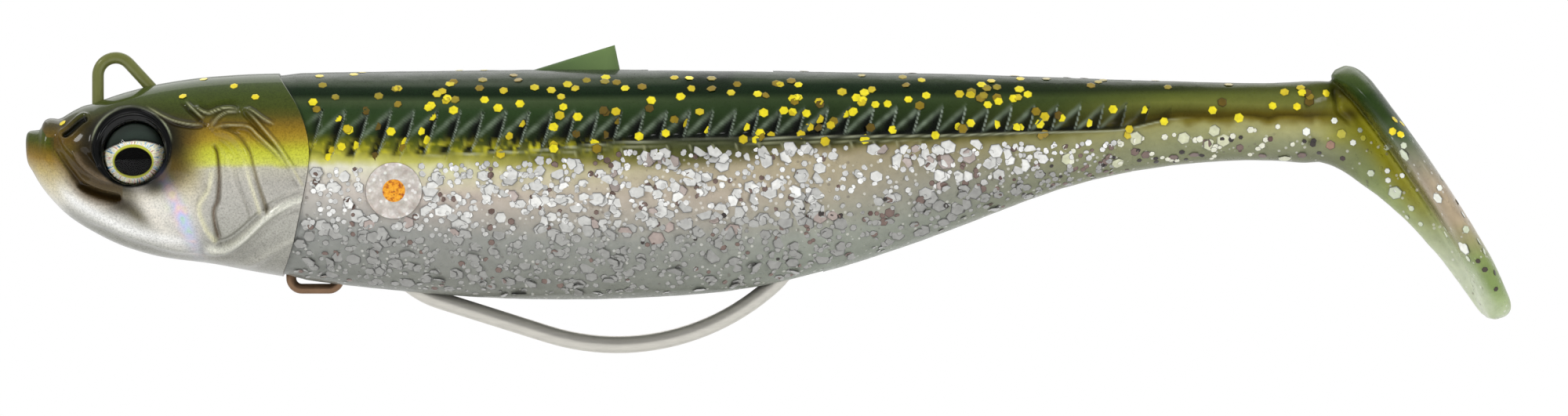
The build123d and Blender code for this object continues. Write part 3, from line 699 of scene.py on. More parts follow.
# ------------------------------------------------------------------ the soft body
SPLIT_X = 85.5
RIB = 1.934
RIB_X0 = 17.46
STATIONS = [380, 560, 700, 900, 1050, 1200, 1350, 1500, 1620]
# colour stops per station, (height px, r, g, b) from the back down: the light top stops, the near-black band under them
# and the lighter stop after it are painted reflection, and the greys that darken toward the belly are painted shade
BANDS = [
    [(92, 128, 132, 118), (107, 94, 106, 86), (113, 14, 32, 12), (121, 10, 28, 7), (129, 54, 66, 40), (140, 40, 58, 30), (168, 44, 60, 26),
     (178, 88, 92, 20), (190, 152, 148, 40), (203, 182, 180, 96), (208, 208, 206, 194), (235, 190, 184, 176), (290, 142, 144, 140), (345, 122, 124, 118)],
    [(92, 118, 124, 110), (108, 98, 108, 92), (113, 14, 32, 12), (122, 8, 26, 6), (130, 58, 72, 44), (142, 36, 54, 28), (175, 30, 46, 16),
     (186, 78, 84, 24), (197, 132, 130, 46), (207, 168, 166, 86), (218, 198, 196, 158), (250, 182, 170, 160), (300, 140, 141, 136), (375, 122, 124, 116)],
    [(92, 116, 122, 106), (107, 96, 106, 88), (112, 14, 32, 12), (122, 8, 26, 6), (129, 56, 70, 42), (142, 36, 54, 26), (180, 18, 28, 8),
     (189, 80, 82, 34), (199, 98, 98, 38), (210, 138, 132, 70), (222, 184, 178, 146), (250, 176, 166, 152), (310, 136, 138, 132), (380, 120, 122, 113)],
    [(92, 92, 102, 86), (103, 78, 92, 70), (109, 14, 32, 12), (119, 10, 28, 8), (127, 46, 60, 34), (140, 36, 52, 26), (176, 14, 22, 6),
     (186, 54, 60, 34), (196, 72, 74, 42), (206, 98, 94, 60), (217, 162, 152, 128), (250, 170, 159, 144), (310, 140, 142, 135), (375, 122, 126, 116)],
    [(92, 88, 98, 80), (102, 74, 88, 64), (108, 14, 32, 12), (118, 10, 28, 8), (126, 44, 58, 32), (138, 34, 48, 24), (172, 14, 22, 6),
     (181, 46, 48, 20), (188, 100, 94, 60), (194, 132, 122, 94), (202, 160, 150, 124), (245, 158, 150, 130), (300, 143, 147, 137), (345, 130, 136, 124)],
    [(92, 84, 94, 74), (102, 70, 84, 58), (108, 16, 32, 10), (118, 12, 28, 8), (126, 46, 60, 32), (137, 36, 50, 22), (167, 16, 24, 6),
     (175, 54, 56, 20), (180, 104, 98, 56), (186, 138, 130, 92), (195, 147, 139, 110), (235, 148, 147, 134), (275, 144, 148, 136), (312, 134, 140, 126)],
    [(93, 78, 88, 60), (101, 66, 78, 44), (107, 24, 36, 8), (116, 22, 34, 8), (125, 54, 66, 30), (136, 54, 64, 26), (162, 48, 48, 12),
     (167, 72, 68, 14), (172, 130, 126, 66), (178, 152, 150, 98), (187, 161, 159, 116), (215, 151, 153, 126), (240, 143, 147, 121), (264, 130, 134, 108)],
    [(96, 74, 82, 46), (102, 62, 70, 24), (108, 36, 46, 10), (114, 36, 44, 8), (121, 76, 84, 30), (130, 98, 102, 46), (143, 58, 54, 12),
     (149, 84, 72, 14), (154, 132, 122, 48), (160, 170, 168, 112), (168, 167, 168, 118), (186, 159, 163, 125), (202, 147, 151, 119), (217, 133, 137, 112)],
    [(99, 92, 98, 52), (104, 84, 90, 40), (108, 62, 68, 22), (114, 62, 68, 20), (122, 86, 92, 40), (134, 100, 102, 48), (144, 80, 70, 14),
     (148, 76, 64, 12), (153, 128, 114, 42), (160, 178, 174, 114), (168, 186, 185, 134), (182, 161, 165, 129), (194, 149, 153, 123), (208, 133, 137, 112)],
]


def px_x(px):
    return (np.asarray(px, float) - 147.7) * 0.066


def px_z(py):
    return (96.6 - np.asarray(py, float)) * 0.066


_st = px_x(STATIONS)
_bz = np.array([[px_z(b[0]) for b in row] for row in BANDS])
_bc = np.array([[srgb(*b[1:]) for b in row] for row in BANDS])
# the two top stops, a painted highlight, are pulled most of the way to dark olive; a little of the painted highlight
# stays
_bc[:, 0] = _bc[:, 0] * 0.20 + srgb(30, 44, 22) * 0.5
_bc[:, 1] = _bc[:, 1] * 0.34 + srgb(30, 44, 22) * 0.4
_bc[6:, 7:] = _bc[6:, 7:] * np.array([0.66, 0.66, 0.62])
_bc[5, 9:] = _bc[5, 9:] * 0.84
lateral_z = pchip([20, 25.4, 36.4, 40.1, 45.5, 52.75, 62.85, 69.45, 76.05, 84.0, 89.25, 96.0], [-6.9, -6.76, -6.23, -5.83, -5.50, -5.31, -5.11, -5.04, -4.84, -4.65, -3.66, -3.3])
rib_top = pchip([16, 40, 50, 62, 80, 88], [-2.75, -2.90, -2.80, -2.55, -2.35, -2.1])


def body_color(q):
    x, z = q[:, 0], q[:, 1]
    i = np.clip(np.searchsorted(_st, x) - 1, 0, len(_st) - 2)
    t = np.clip((x - _st[i]) / (_st[i + 1] - _st[i]), 0, 1)
    out = np.zeros((len(x), 3))
    zs = _bz[i] * (1 - t[:, None]) + _bz[i + 1] * t[:, None]
    cs = _bc[i] * (1 - t[:, None, None]) + _bc[i + 1] * t[:, None, None]
    n = zs.shape[1]
    k = np.clip((z[:, None] < zs).sum(1) - 1, 0, n - 2)
    r = np.arange(len(x))
    u = np.clip((zs[r, k] - z) / (zs[r, k] - zs[r, k + 1]), 0, 1)
    return cs[r, k] * (1 - u[:, None]) + cs[r, k + 1] * u[:, None]


def rib_phase(x, z):
    """Share 0..1 between the slanted rib edges, and how far below the rib tops."""
    down = rib_top(x) - z
    slant = 0.10 * down + 0.078 * np.maximum(down, 0) ** 1.7
    p = (x + slant - RIB_X0) / RIB
    return p - np.floor(p), down, np.floor(p)


def rib_relief(q):
    x, z = q[:, 0], q[:, 1]
    p, down, k = rib_phase(x, z)
    lat = lateral_z(x)
    wob = 0.10 * np.sin(k * 2.3 + 1.0)
    top_edge = 2.05 * (1 - p) ** 1.25 + 0.05 + wob * 0.5   # how far below the peaks the wedge begins
    d = down - top_edge
    inside = smooth(-0.06, 0.10, d)
    floor = smooth(0.0, 0.5, z - (lat + 0.05))
    front = smooth(15.5, 17.5, x)
    strength = front * (1 - 0.35 * smooth(50, 66, x)) * smooth(91.0, 84.0, x)
    saw = smooth(0.25, 0.93, p)
    h = inside * (-0.42 * saw) + 0.15 * gauss(d - 0.22, 0.20) * (0.4 + 0.6 * p) + 0.12 * gauss(p - 0.975, 0.026) * smooth(0.1, 0.5, down)
    h = h * np.where(x < 36, np.maximum(floor, 0.55 * smooth(-0.9, 0.1, z - lat)), floor)
    # groove lines run on below the first wedges
    low = smooth(0.4, 0.0, z - lat) * smooth(-1.7, -0.4, z - lat) * smooth(48, 40, x)
    h += -0.10 * low * gauss(np.minimum(p, 1 - p), 0.05)
    h *= strength
    # the two side-line threads and the short bars between them
    th = smooth(22, 26, x) * smooth(91, 87, x)
    h += 0.13 * th * gauss(z - lat, 0.085)
    h += 0.10 * th * smooth(33, 38, x) * smooth(72, 64, x) * gauss(z - lat + 0.40, 0.075)
    pb = (x - 0.30 * (lat - z) - 18.2) / RIB
    pb = pb - np.floor(pb)
    bar = smooth(0.05, 0.25, lat - z) * smooth(1.2, 0.6, lat - z) * smooth(33, 38, x) * smooth(72, 64, x)
    h += 0.11 * bar * gauss(pb - 0.5, 0.06)
    return h


def body_grid(x0, x1, nu, nv, front=False):
    th = np.linspace(0, 2 * np.pi, nv, endpoint=False) + np.pi / nv
    c, sn = superellipse(th, 2.15)
    s = np.linspace(0, 1, nu)
    start = np.full(nv, float(x0))
    if front:
        for _ in range(30):
            top, bot = body_top(start), body_bot(start)
            start = seam_at((top + bot) / 2 + (top - bot) / 2 * sn) + 0.03
    X = start[None, :] + (x1 - start[None, :]) * s[:, None]
    top, bot, half = body_top(X), body_bot(X), body_half(X) - 0.16
    Y = half * c[None, :]
    Z = (top + bot) / 2 + (top - bot) / 2 * sn[None, :]
    return np.stack([X, Y, Z], -1)


def grid_normals(G):
    du = np.gradient(G, axis=0)
    dv = (np.roll(G, -1, 1) - np.roll(G, 1, 1))
    N = np.cross(dv, du)
    N /= np.maximum(np.linalg.norm(N, axis=-1, keepdims=True), 1e-12)
    m = G.shape[0] // 2
    if (N[m, :, 1] * G[m, :, 1]).sum() < 0:
        N = -N
    return N


SEAM_DROP = 0.16


def shape_body(G, front):
    N = grid_normals(G)
    P, NN = G.reshape(-1, 3), N.reshape(-1, 3)
    q = side_view(P)
    face = smooth(0.25, 0.60, np.abs(NN[:, 1]))
    h = rib_relief(q) * face
    h += 0.020 * noise3(P, 1.5, 5) + 0.010 * noise3(P, 0.6, 6)
    if front:
        s = np.linspace(0, 1, G.shape[0])[:, None] * np.ones((1, G.shape[1]))
        h -= SEAM_DROP * (1 - smooth(0.0, 0.03, s.ravel()))
    P = P + NN * h[:, None]
    return P.reshape(G.shape)


def closed_grid(name, G, cap_depth=0.0):
    nu, nv = G.shape[:2]
    a, b = G[0].mean(0), G[-1].mean(0)
    verts = np.vstack([G.reshape(-1, 3), a, b])
    faces = rings_faces(nu, nv).tolist()
    ia, ib = nu * nv, nu * nv + 1
    last = (nu - 1) * nv
    faces += [[(j + 1) % nv, j, ia] for j in range(nv)]
    faces += [[last + j, last + (j + 1) % nv, ib] for j in range(nv)]
    return new_mesh(name, verts, faces)


def prism(name, outline, half):
    n = len(outline)
    verts = [(x, -half, z) for x, z in outline] + [(x, half, z) for x, z in outline]
    faces = [list(range(n))[::-1], list(range(n, 2 * n))] + [[i, (i + 1) % n, n + (i + 1) % n, n + i] for i in range(n)]
    ob = new_mesh(name, verts, faces, False)
    import bmesh
    bm = bmesh.new()
    bm.from_mesh(ob.data)
    bmesh.ops.recalc_face_normals(bm, faces=bm.faces)
    bm.to_mesh(ob.data)
    bm.free()
    return ob


def drum(name, x, z, r, y0, y1, seg=64):
    pts = [(x + r * math.cos(2 * math.pi * k / seg), z + r * math.sin(2 * math.pi * k / seg)) for k in range(seg)]
    ob = prism(name, pts, 1.0)
    co = co_mm(ob)
    co[:, 1] = np.where(co[:, 1] < 0, y0, y1)
    set_co_mm(ob, co)
    return ob


def fix_normals(ob):
    import bmesh
    bm = bmesh.new()
    bm.from_mesh(ob.data)
    bmesh.ops.recalc_face_normals(bm, faces=bm.faces)
    bm.to_mesh(ob.data)
    bm.free()
    ob.data.shade_smooth()


def cut(ob, cutters):
    for c in cutters:
        m = ob.modifiers.new("cut", "BOOLEAN")
        m.operation = "DIFFERENCE"
        m.solver = "MANIFOLD"
        m.object = c
    n_before = len(ob.data.vertices)
    apply_modifiers(ob)
    for c in cutters:
        me = c.data
        bpy.data.objects.remove(c)
        bpy.data.meshes.remove(me)
    return ob


SLOT = [(13.0, -32.0), (13.0, -16.3), (19.3, -16.3), (19.3, -12.83), (23.6, -12.83), (24.83, -15.61), (26.02, -16.3), (27.94, -16.84),
        (30.44, -17.15), (33.4, -17.65), (36.37, -18.14), (38.37, -18.3), (40.37, -18.48), (42.46, -18.09), (44.0, -17.87), (45.55, -17.56),
        (46.79, -17.11), (47.93, -16.56), (48.96, -15.93), (43.92, 3.98), (42.42, 5.61), (46.19, 6.94), (49.82, 5.31), (53.51, 2.51),
        (56.53, -1.05), (58.17, -4.67), (59.27, -9.86), (59.64, -15.14), (59.27, -20.42), (58.17, -25.61), (56.36, -30.58), (56.36, -32.0)]
LOCK = (23.61, -9.70)

# hex flakes -------------------------------------------------------------------
surface_cache = {}


def surface_point(x, theta):
    """A point and outward normal on the relief-free body surface."""
    def at(xx, tt):
        c, s = superellipse(np.array([tt]), 2.15)
        top, bot, half = body_top(xx), body_bot(xx), body_half(xx) - 0.16
        return np.array([xx, float(half) * c[0], float((top + bot) / 2 + (top - bot) / 2 * s[0])])
    p = at(x, theta)
    a = at(x + 0.05, theta) - p
    b = at(x, theta + 0.01) - p
    n = np.cross(b, a)
    n /= np.linalg.norm(n)
    if n[1] * p[1] < 0:
        n = -n
    return p, n


def flakes_mesh(name, items):
    """items: (centre, normal, radius, spin, tilt vector, colour, squash)."""
    verts, faces, cols = [], [], []
    for p, n, r, spin, tilt, colr, sq in items:
        n = n + tilt
        n = n / np.linalg.norm(n)
        a = np.cross(n, [0.13, 0.2, 0.97])
        a /= np.linalg.norm(a)
        b = np.cross(n, a)
        base = len(verts)
        th = 0.022
        for lift, rr in ((th, 0.86), (th * 0.7, 0.98), (0.0, 1.17)):
            for k in range(6):
                w = spin + k * math.pi / 3
                verts.append(p + n * lift + (a * math.cos(w) + b * math.sin(w) * sq) * r * rr)
        faces.append([base + k for k in range(6)])
        for lay in (0, 6):
            for k in range(6):
                faces.append([base + lay + k, base + lay + 6 + k, base + lay + 6 + (k + 1) % 6, base + lay + (k + 1) % 6])
        faces.append([base + 12 + (5 - k) for k in range(6)])
        # the outer bevel ring is darkened as painted shade round each flake's edge
        cols += [colr] * 6 + [colr * 0.92] * 6 + [colr * 0.16] * 6
    verts = np.array(verts)
    verts[:, 1] = np.clip(verts[:, 1], -7.10, 7.10)
    verts[:, 0] = np.clip(verts[:, 0], -7.55, 117.42)
    ob = new_mesh(name, verts, faces, False)
    import bmesh
    bm = bmesh.new()
    bm.from_mesh(ob.data)
    bmesh.ops.recalc_face_normals(bm, faces=bm.faces)
    bm.to_mesh(ob.data)
    bm.free()
    point_attr(ob, "paint", np.hstack([np.array(cols), np.ones((len(cols), 1))]))
    return ob


# ------------------------------------------------------------------ paddle tail
P_REAR = [(103.51, 0.90), (104.43, 0.63), (105.42, -0.16), (106.41, -1.35), (107.73, -3.13), (110.37, -6.82), (113.01, -10.78),
          (115.65, -15.14), (116.97, -17.98), (117.43, -19.36), (117.10, -20.16), (116.18, -20.55)]
P_FRONT = [(102.60, 0.50), (102.30, -0.20), (103.40, -1.40), (105.84, -4.44), (108.44, -8.06), (111.05, -11.98), (113.60, -16.55),
           (114.60, -19.30), (115.45, -20.42)]
P_LOWER = [(99.00, -6.90), (100.50, -7.10), (102.20, -7.55), (103.60, -8.25), (105.09, -9.33), (106.41, -10.26), (107.73, -11.38),
           (109.05, -12.63), (110.37, -14.08), (111.69, -15.60), (113.01, -17.38), (114.33, -19.23), (115.10, -20.20)]
P_INNER = [(99.00, -2.60), (101.0, -2.1), (103.0, -1.5), (104.6, -1.7), (106.7, -3.95), (109.3, -7.5), (111.9, -11.45), (114.3, -16.0),
           (115.4, -18.7), (115.8, -19.8)]
P_CENTRE, P_DIR = np.array([109.85, -9.95]), np.array([0.535, -0.845])
JUNCTION = curve_through([(102.6, -0.9), (103.70, -1.73), (105.2, -3.55), (106.73, -5.52), (108.85, -8.55), (111.73, -12.79), (113.6, -16.0), (115.2, -19.4)], 8)


def resample(points, n):
    p = curve_through(points, 12)
    d = np.concatenate([[0], np.cumsum(np.hypot(*np.diff(p, axis=0).T))])
    t = np.linspace(0, d[-1], n)
    return np.stack([np.interp(t, d, p[:, 0]), np.interp(t, d, p[:, 1])], 1)


def leaf(name, A, B, width, nv=64, n=2.5):
    """Rings between two side-view curves A and B with a half width for each ring."""
    th = np.linspace(0, 2 * np.pi, nv, endpoint=False)
    c, s = superellipse(th, n)
    M, H = (A + B) / 2, (A - B) / 2
    G = np.zeros((len(A), nv, 3))
    G[:, :, 0] = M[:, None, 0] + H[:, None, 0] * s
    G[:, :, 2] = M[:, None, 1] + H[:, None, 1] * s
    G[:, :, 1] = width[:, None] * c
    return closed_grid(name, G)


def build_rear():
    G = body_grid(84.9, 104.6, 150, 200)
    shrink = (smooth(86.4, 84.9, G[:, 0, 0]) * 0.05)[:, None, None]
    ctr = G.mean(1, keepdims=True)
    G = G + (ctr - G) * shrink * 0.25
    # the stem ends inside the paddle's head
    tuck = 1 - 0.62 * smooth(99.0, 104.6, G[:, :, 0])
    G[:, :, 1] *= tuck
    zc = G[:, :, 2].mean(1, keepdims=True)
    low_part = G[:, :, 2] < zc
    G[:, :, 2] = np.where(low_part, zc + (G[:, :, 2] - zc) * (1 - 0.35 * smooth(99.5, 104.6, G[:, :, 0])), G[:, :, 2])
    stem = closed_grid("stem_rings", G)
    R = resample(P_REAR, 120)
    F = resample(P_FRONT, 120)
    mid = (R + F) / 2
    lng = (mid - P_CENTRE) @ P_DIR
    w = 6.72 * np.sqrt(np.clip(1 - (lng / 12.55) ** 2, 0.0012, 1))
    disc = leaf("paddle_rings", F, R, w, 96, 2.3)
    inn, low = resample(P_INNER, 110), resample(P_LOWER, 110)
    t = np.linspace(0, 1, 110)
    kw = 1.65 * (1 - t) ** 1.1 + 1.0
    keel = leaf("keel_rings", inn, low, kw, 64, 2.1)
    for o in (stem, disc, keel):
        fix_normals(o)
    for o in (disc, keel):
        m = stem.modifiers.new("join", "BOOLEAN")
        m.operation, m.solver, m.object = "UNION", "MANIFOLD", o
    m = stem.modifiers.new("remesh", "REMESH")
    m.mode, m.voxel_size = "VOXEL", 0.13 * MM
    m = stem.modifiers.new("soften", "SMOOTH")
    m.factor, m.iterations = 0.5, 5
    apply_modifiers(stem)
    for o in (disc, keel):
        me = o.data
        bpy.data.objects.remove(o)
        bpy.data.meshes.remove(me)
    stem.name = "tail_skin"
    stem.data.name = "tail_skin"
    co = co_mm(stem)
    nrm = np.empty(len(co) * 3, np.float32)
    stem.data.vertices.foreach_get("normal", nrm)
    nrm = nrm.reshape(-1, 3).astype(float)
    q = side_view(co)
    face = smooth(0.25, 0.60, np.abs(nrm[:, 1]))
    h = rib_relief(q) * face * smooth(99, 96, co[:, 0])
    d, tt, sd = to_line(q, JUNCTION, 2.0)
    h += (-0.24 * gauss(d * sd - 0.25, 0.20) + 0.16 * gauss(d * sd + 0.22, 0.22)) * ends(tt, 0.06, 0.3) * face
    knob = curve_through([(102.5, -0.9), (102.75, -2.0), (102.9, -2.9), (103.6, -3.6), (104.3, -4.3)], 6)
    d, tt, sd = to_line(q, knob, 1.4)
    h += -0.42 * gauss(d, 0.24) * ends(tt, 0.15, 0.3) * face
    h += (0.02 * noise3(co, 1.6, 7) + 0.012 * noise3(co, 0.7, 8))
    co = co + nrm * h[:, None]
    set_co_mm(stem, co)
    stem.data.shade_smooth()
    return stem


def tail_color(co, q):
    x, z = q[:, 0], q[:, 1]
    base = body_color(q)
    d, t, sd = to_line(q, JUNCTION, 30.0)
    u = d * sd           # positive towards the rear edge
    n1 = noise3(co, 2.0, 11) * 0.25
    zr = z + n1
    zs_ = -np.array([-1.0, 0.4, 1.6, 3.4, 5.2, 7.0, 9.2, 12.0, 14.0, 15.6, 17.6, 19.0, 20.6])
    cs_ = np.array([srgb(80, 92, 46), srgb(56, 72, 30), srgb(34, 52, 18), srgb(42, 58, 26), srgb(76, 90, 62), srgb(124, 124, 104),
                    srgb(158, 144, 122), srgb(166, 150, 124), srgb(144, 142, 100), srgb(126, 142, 84), srgb(124, 144, 84), srgb(154, 170, 122),
                    srgb(188, 198, 168)])
    band = np.stack([np.interp(-zr, -zs_, cs_[:, k]) for k in range(3)], 1)
    we = -np.array([0.0, 2.0, 4.0, 6.0, 8.5, 11.0, 14.0, 17.0, 20.5])
    wc = np.array([srgb(52, 54, 14), srgb(58, 50, 8), srgb(104, 104, 40), srgb(116, 122, 68), srgb(126, 138, 88), srgb(142, 154, 104),
                   srgb(170, 178, 144), srgb(188, 194, 170), srgb(186, 194, 166)])
    web = np.stack([np.interp(-zr, -we, wc[:, k]) for k in range(3)], 1)
    stripe = srgb(150, 144, 22)
    k = gauss(u + 0.65, 1.05) * smooth(-14.5, -9.0, z) * smooth(-1.2, -3.0, z)
    web = mixc(web, stripe, np.clip(0.92 * k, 0, 1))
    # painted shadow under the stem's rounded knob
    web = mixc(web, srgb(46, 34, 6), 0.85 * np.exp(-((x - 103.9) / 0.9) ** 2 - ((z + 3.3) / 0.8) ** 2))
    pad = mixc(web, band, smooth(-0.12, 0.18, u))
    # painted shade along the groove just behind the paddle junction
    pad = mixc(pad, srgb(60, 58, 16), 0.75 * gauss(u - 0.22, 0.22) * smooth(-15, -11, z))
    pale = smooth(-14.5, -18.0, z) * smooth(1.3, 0.2, u)
    pad = mixc(pad, srgb(192, 200, 174), 0.75 * pale)
    w = smooth(101.9, 103.2, x) * smooth(-2.0, -1.0, z) + smooth(101.0, 106.0, x + 0.30 * (z + 6)) * smooth(-1.0, -2.0, z)
    hump = smooth(0.05, 0.35, z - (-0.35)) * smooth(102.0, 102.6, x)
    w = np.clip(w + hump, 0, 1)
    yg = np.exp(-((x - 103.4) / 1.8) ** 2 - ((z + 5.0) / 0.9) ** 2)
    out = mixc(base, pad, w)
    out = mixc(out, srgb(140, 138, 30), 0.75 * yg)
    return out


# ------------------------------------------------------------------ dorsal fin
def build_fin():
    xs = np.concatenate([np.linspace(34.7, 42.0, 50), np.linspace(42.05, 42.46, 8)])
    top = np.interp(xs, [34.7, 35.0, 42.0, 42.46], [0.30, 0.44, 2.58, 0.40])
    foot = -0.55
    n = 15
    G = []
    for x, zt in zip(xs, top):
        v = np.linspace(0, 1, n)
        z = foot + (zt - foot) * v
        th = np.interp(z, [foot, 0.4, 2.6], [0.40, 0.37, 0.17])
        edge = np.clip(min(x - 34.6, 42.60 - x) / 0.35, 0.25, 1)
        th = th * edge * np.sqrt(np.clip(1 - (v ** 10), 0.05, 1))
        G.append(np.vstack([np.stack([np.full(n, x), -th, z], 1), np.stack([np.full(n, x), th, z], 1)[::-1]]))
    ob = closed_grid("fin_blade", np.array(G))
    fix_normals(ob)
    ob.data.set_sharp_from_angle(angle=math.radians(40))
    return ob


# ------------------------------------------------------------------ metal tang, barbs and hook lug inside the body
def turned(name, profile, axis_z, seg=56):
    xs = np.array([p[0] for p in profile])
    rs = np.array([p[1] for p in profile])
    th = np.linspace(0, 2 * np.pi, seg, endpoint=False)
    G = np.stack([np.repeat(xs[:, None], seg, 1), rs[:, None] * np.cos(th), axis_z + rs[:, None] * np.sin(th)], -1)
    ob = closed_grid(name, G)
    fix_normals(ob)
    return ob


def rounded_block(name, x0, x1, y0, y1, z0, z1, r=0.18):
    import bmesh
    me = bpy.data.meshes.new(name)
    bm = bmesh.new()
    bmesh.ops.create_cube(bm, size=1.0)
    for v in bm.verts:
        v.co = Vector(((x0 + x1) / 2 + v.co.x * (x1 - x0), (y0 + y1) / 2 + v.co.y * (y1 - y0), (z0 + z1) / 2 + v.co.z * (z1 - z0))) * MM
    bmesh.ops.bevel(bm, geom=bm.edges[:] + bm.verts[:], offset=r * MM, segments=3, profile=0.5, affect="EDGES")
    bm.to_mesh(me)
    bm.free()
    ob = bpy.data.objects.new(name, me)
    bpy.context.scene.collection.objects.link(ob)
    return ob


def joined(name, obs):
    for o in bpy.context.view_layer.objects:
        o.select_set(False)
    for o in obs:
        o.select_set(True)
    bpy.context.view_layer.objects.active = obs[0]
    bpy.ops.object.join()
    obs[0].name = name
    obs[0].data.name = name
    return obs[0]


def build_tang():
    prof = [(12.5, 2.3), (12.6, 2.44), (17.4, 2.44), (17.55, 2.50), (17.6, 2.9), (19.0, 2.45), (19.9, 2.44), (19.95, 2.5), (20.0, 2.9), (21.4, 2.45),
            (26.5, 2.44), (26.7, 2.3), (27.3, 1.7), (27.38, 1.2)]
    tang = turned("tang", prof, -9.70)
    lug = rounded_block("lug", 12.7, 18.95, -1.86, 1.86, -16.25, -13.25)
    parts = [tang, lug]
    for sgn in (-1, 1):
        y0, y1 = sorted((sgn * 0.84, sgn * 1.86))
        pts = [(18.6, -16.2), (18.6, -13.4)] + [(21.67 + 1.80 * math.cos(a), -15.14 + 1.80 * math.sin(a)) for a in np.linspace(math.pi / 2, -math.pi / 2 + 0.2, 26)]
        pts += [(20.8, -16.6)]
        ear = prism("ear", pts, 1.0)
        co = co_mm(ear)
        co[:, 1] = np.where(co[:, 1] < 0, y0, y1)
        set_co_mm(ear, co)
        parts.append(ear)
    ob = joined("tang_and_lug", parts)
    ob.data.set_sharp_from_angle(angle=math.radians(35))
    return ob


# ------------------------------------------------------------------ eyes
def eye_frame(sgn):
    n = EYE_N * (1, sgn, 1)
    c = EYE_C * (1, sgn, 1)
    a = np.cross(n, (0, 0, 1.0))
    a /= np.linalg.norm(a)
    return c, n, a, np.cross(n, a)


def dome(name, sgn, levels, seg=128, open_back=False):
    c, n, a, b = eye_frame(sgn)
    th = np.linspace(0, 2 * np.pi, seg, endpoint=False)
    G = []
    for r, h in levels:
        G.append(c + n * h + (np.cos(th)[:, None] * a + np.sin(th)[:, None] * b) * r)
    if open_back:
        G = np.array(G)
        ob = new_mesh(name, np.vstack([G.reshape(-1, 3), G[-1].mean(0)]),
                      rings_faces(len(G), seg).tolist() + [[(len(G) - 1) * seg + j, (len(G) - 1) * seg + (j + 1) % seg, len(G) * seg] for j in range(seg)])
        nrm = np.empty(len(ob.data.vertices) * 3, np.float32)
        ob.data.vertices.foreach_get("normal", nrm)
        if (nrm.reshape(-1, 3) @ n).sum() < 0:
            ob.data.flip_normals()
        return ob
    ob = closed_grid(name, np.array(G))
    fix_normals(ob)
    return ob


def build_eye(sgn, name):
    floor = -1.0
    lv = [(0.02, floor + 0.01), (2.58, floor + 0.01), (2.61, floor + 0.05), (2.61, floor + 0.17)] + [(r, floor + 0.20) for r in np.linspace(2.59, 0.02, 46)]
    disc = dome("foil_" + name, sgn, lv)
    h0, rim = floor + 0.21, floor + 0.5
    R = (2.62 ** 2 + 1.08 ** 2) / (2 * 1.08)
    lv = [(2.63, h0 + 0.02), (2.63, rim - 0.06)]
    for a in np.linspace(math.asin(2.62 / R), 0.004, 30):
        lv.append((R * math.sin(a), rim + R * math.cos(a) - (R - 1.08)))
    lens = dome("lens_" + name, sgn, lv, open_back=True)
    return disc, lens


def eye_paint(co):
    q = side_view(co)
    x, z = q[:, 0], q[:, 1]
    col = np.tile(srgb(228, 226, 214), (len(q), 1))
    kind = np.ones(len(q))                                  # 1 where the foil shows
    pr = np.hypot((x - 1.46) / 1.60, (z + 7.25) / 1.23)
    pr2 = np.hypot((x - 1.46) / 1.74, (z + 7.22) / 1.44)
    ring = smooth(1.03, 0.99, pr2)
    col = mixc(col, srgb(176, 178, 66), ring)
    kind = kind * (1 - ring)
    black = smooth(1.02, 0.98, pr)
    col = mixc(col, srgb(3, 3, 3), black)
    # painted shadow of the socket rim across the top of the foil, with a lighter painted highlight band inside it and a
    # black line at its lower edge
    rim_shadow_z = np.interp(x, [-1.2, -0.2, 0.7, 1.6, 2.5, 3.4, 4.3], [-6.42, -5.90, -5.56, -5.44, -5.50, -5.72, -6.12])
    rim_shadow_mask = smooth(-0.03, 0.05, z - rim_shadow_z)
    col = mixc(col, srgb(38, 47, 42), rim_shadow_mask)
    col = mixc(col, srgb(62, 72, 66), rim_shadow_mask * smooth(0.9, 0.1, np.abs(z - rim_shadow_z - 0.95)) * 0.5)
    col = mixc(col, srgb(4, 4, 4), gauss(z - rim_shadow_z, 0.11))
    kind = kind * (1 - rim_shadow_mask) * (1 - gauss(z - rim_shadow_z, 0.11))
    rad = np.hypot(x - 1.59, z + 6.40)
    col = mixc(col, srgb(10, 10, 9), smooth(2.50, 2.60, rad))
    ang = np.arctan2(z + 7.0, x - 1.5)
    return col, kind, np.stack([np.cos(ang), np.sin(ang), 0.12 * np.hypot(x - 1.5, z + 7.0)], 1)


# ------------------------------------------------------------------ materials
def rest_coord(ob):
    point_attr(ob, "rest", co_mm(ob))


def mat_head():
    m, nt, b = material("head_paint")
    paint, rest = attribute(nt, "paint"), attribute(nt, "rest")
    silver, irid = attribute(nt, "silver"), attribute(nt, "irid")
    grain = noise_tex(nt, rest.outputs["Vector"], 6.5, 2.0, 0.7)
    fine = noise_tex(nt, rest.outputs["Vector"], 22.0, 1.0, 0.6)
    g = ramp(nt, grain, [(0.30, 0.60), (0.50, 0.98), (0.70, 1.20)])
    col = mix_rgb(nt, 0.75, paint.outputs["Color"], mix_rgb(nt, 1.0, paint.outputs["Color"], g, "MULTIPLY"))
    hue_noise = noise_tex(nt, rest.outputs["Vector"], 0.85, 1.0, 0.5)
    rainbow = ramp(nt, hue_noise, [(0.30, srgb(150, 225, 170)), (0.42, srgb(170, 200, 250)), (0.52, srgb(190, 180, 250)), (0.62, srgb(240, 190, 225)),
                                   (0.72, srgb(250, 225, 190))])
    col = mix_rgb(nt, mathn(nt, "MULTIPLY", irid.outputs["Fac"], 0.62), col, rainbow)
    nt.links.new(col, b.inputs["Base Color"])
    nt.links.new(mathn(nt, "MULTIPLY", silver.outputs["Fac"], 0.45), b.inputs["Metallic"])
    nt.links.new(mathn(nt, "ADD", mathn(nt, "MULTIPLY", fine, 0.22), 0.24), b.inputs["Roughness"])
    b.inputs["Coat Weight"].default_value = 0.6
    b.inputs["Coat Roughness"].default_value = 0.07
    b.inputs["Specular IOR Level"].default_value = 0.06
    nt.links.new(bump(nt, grain, 0.00002, 0.35), b.inputs["Normal"])
    return m


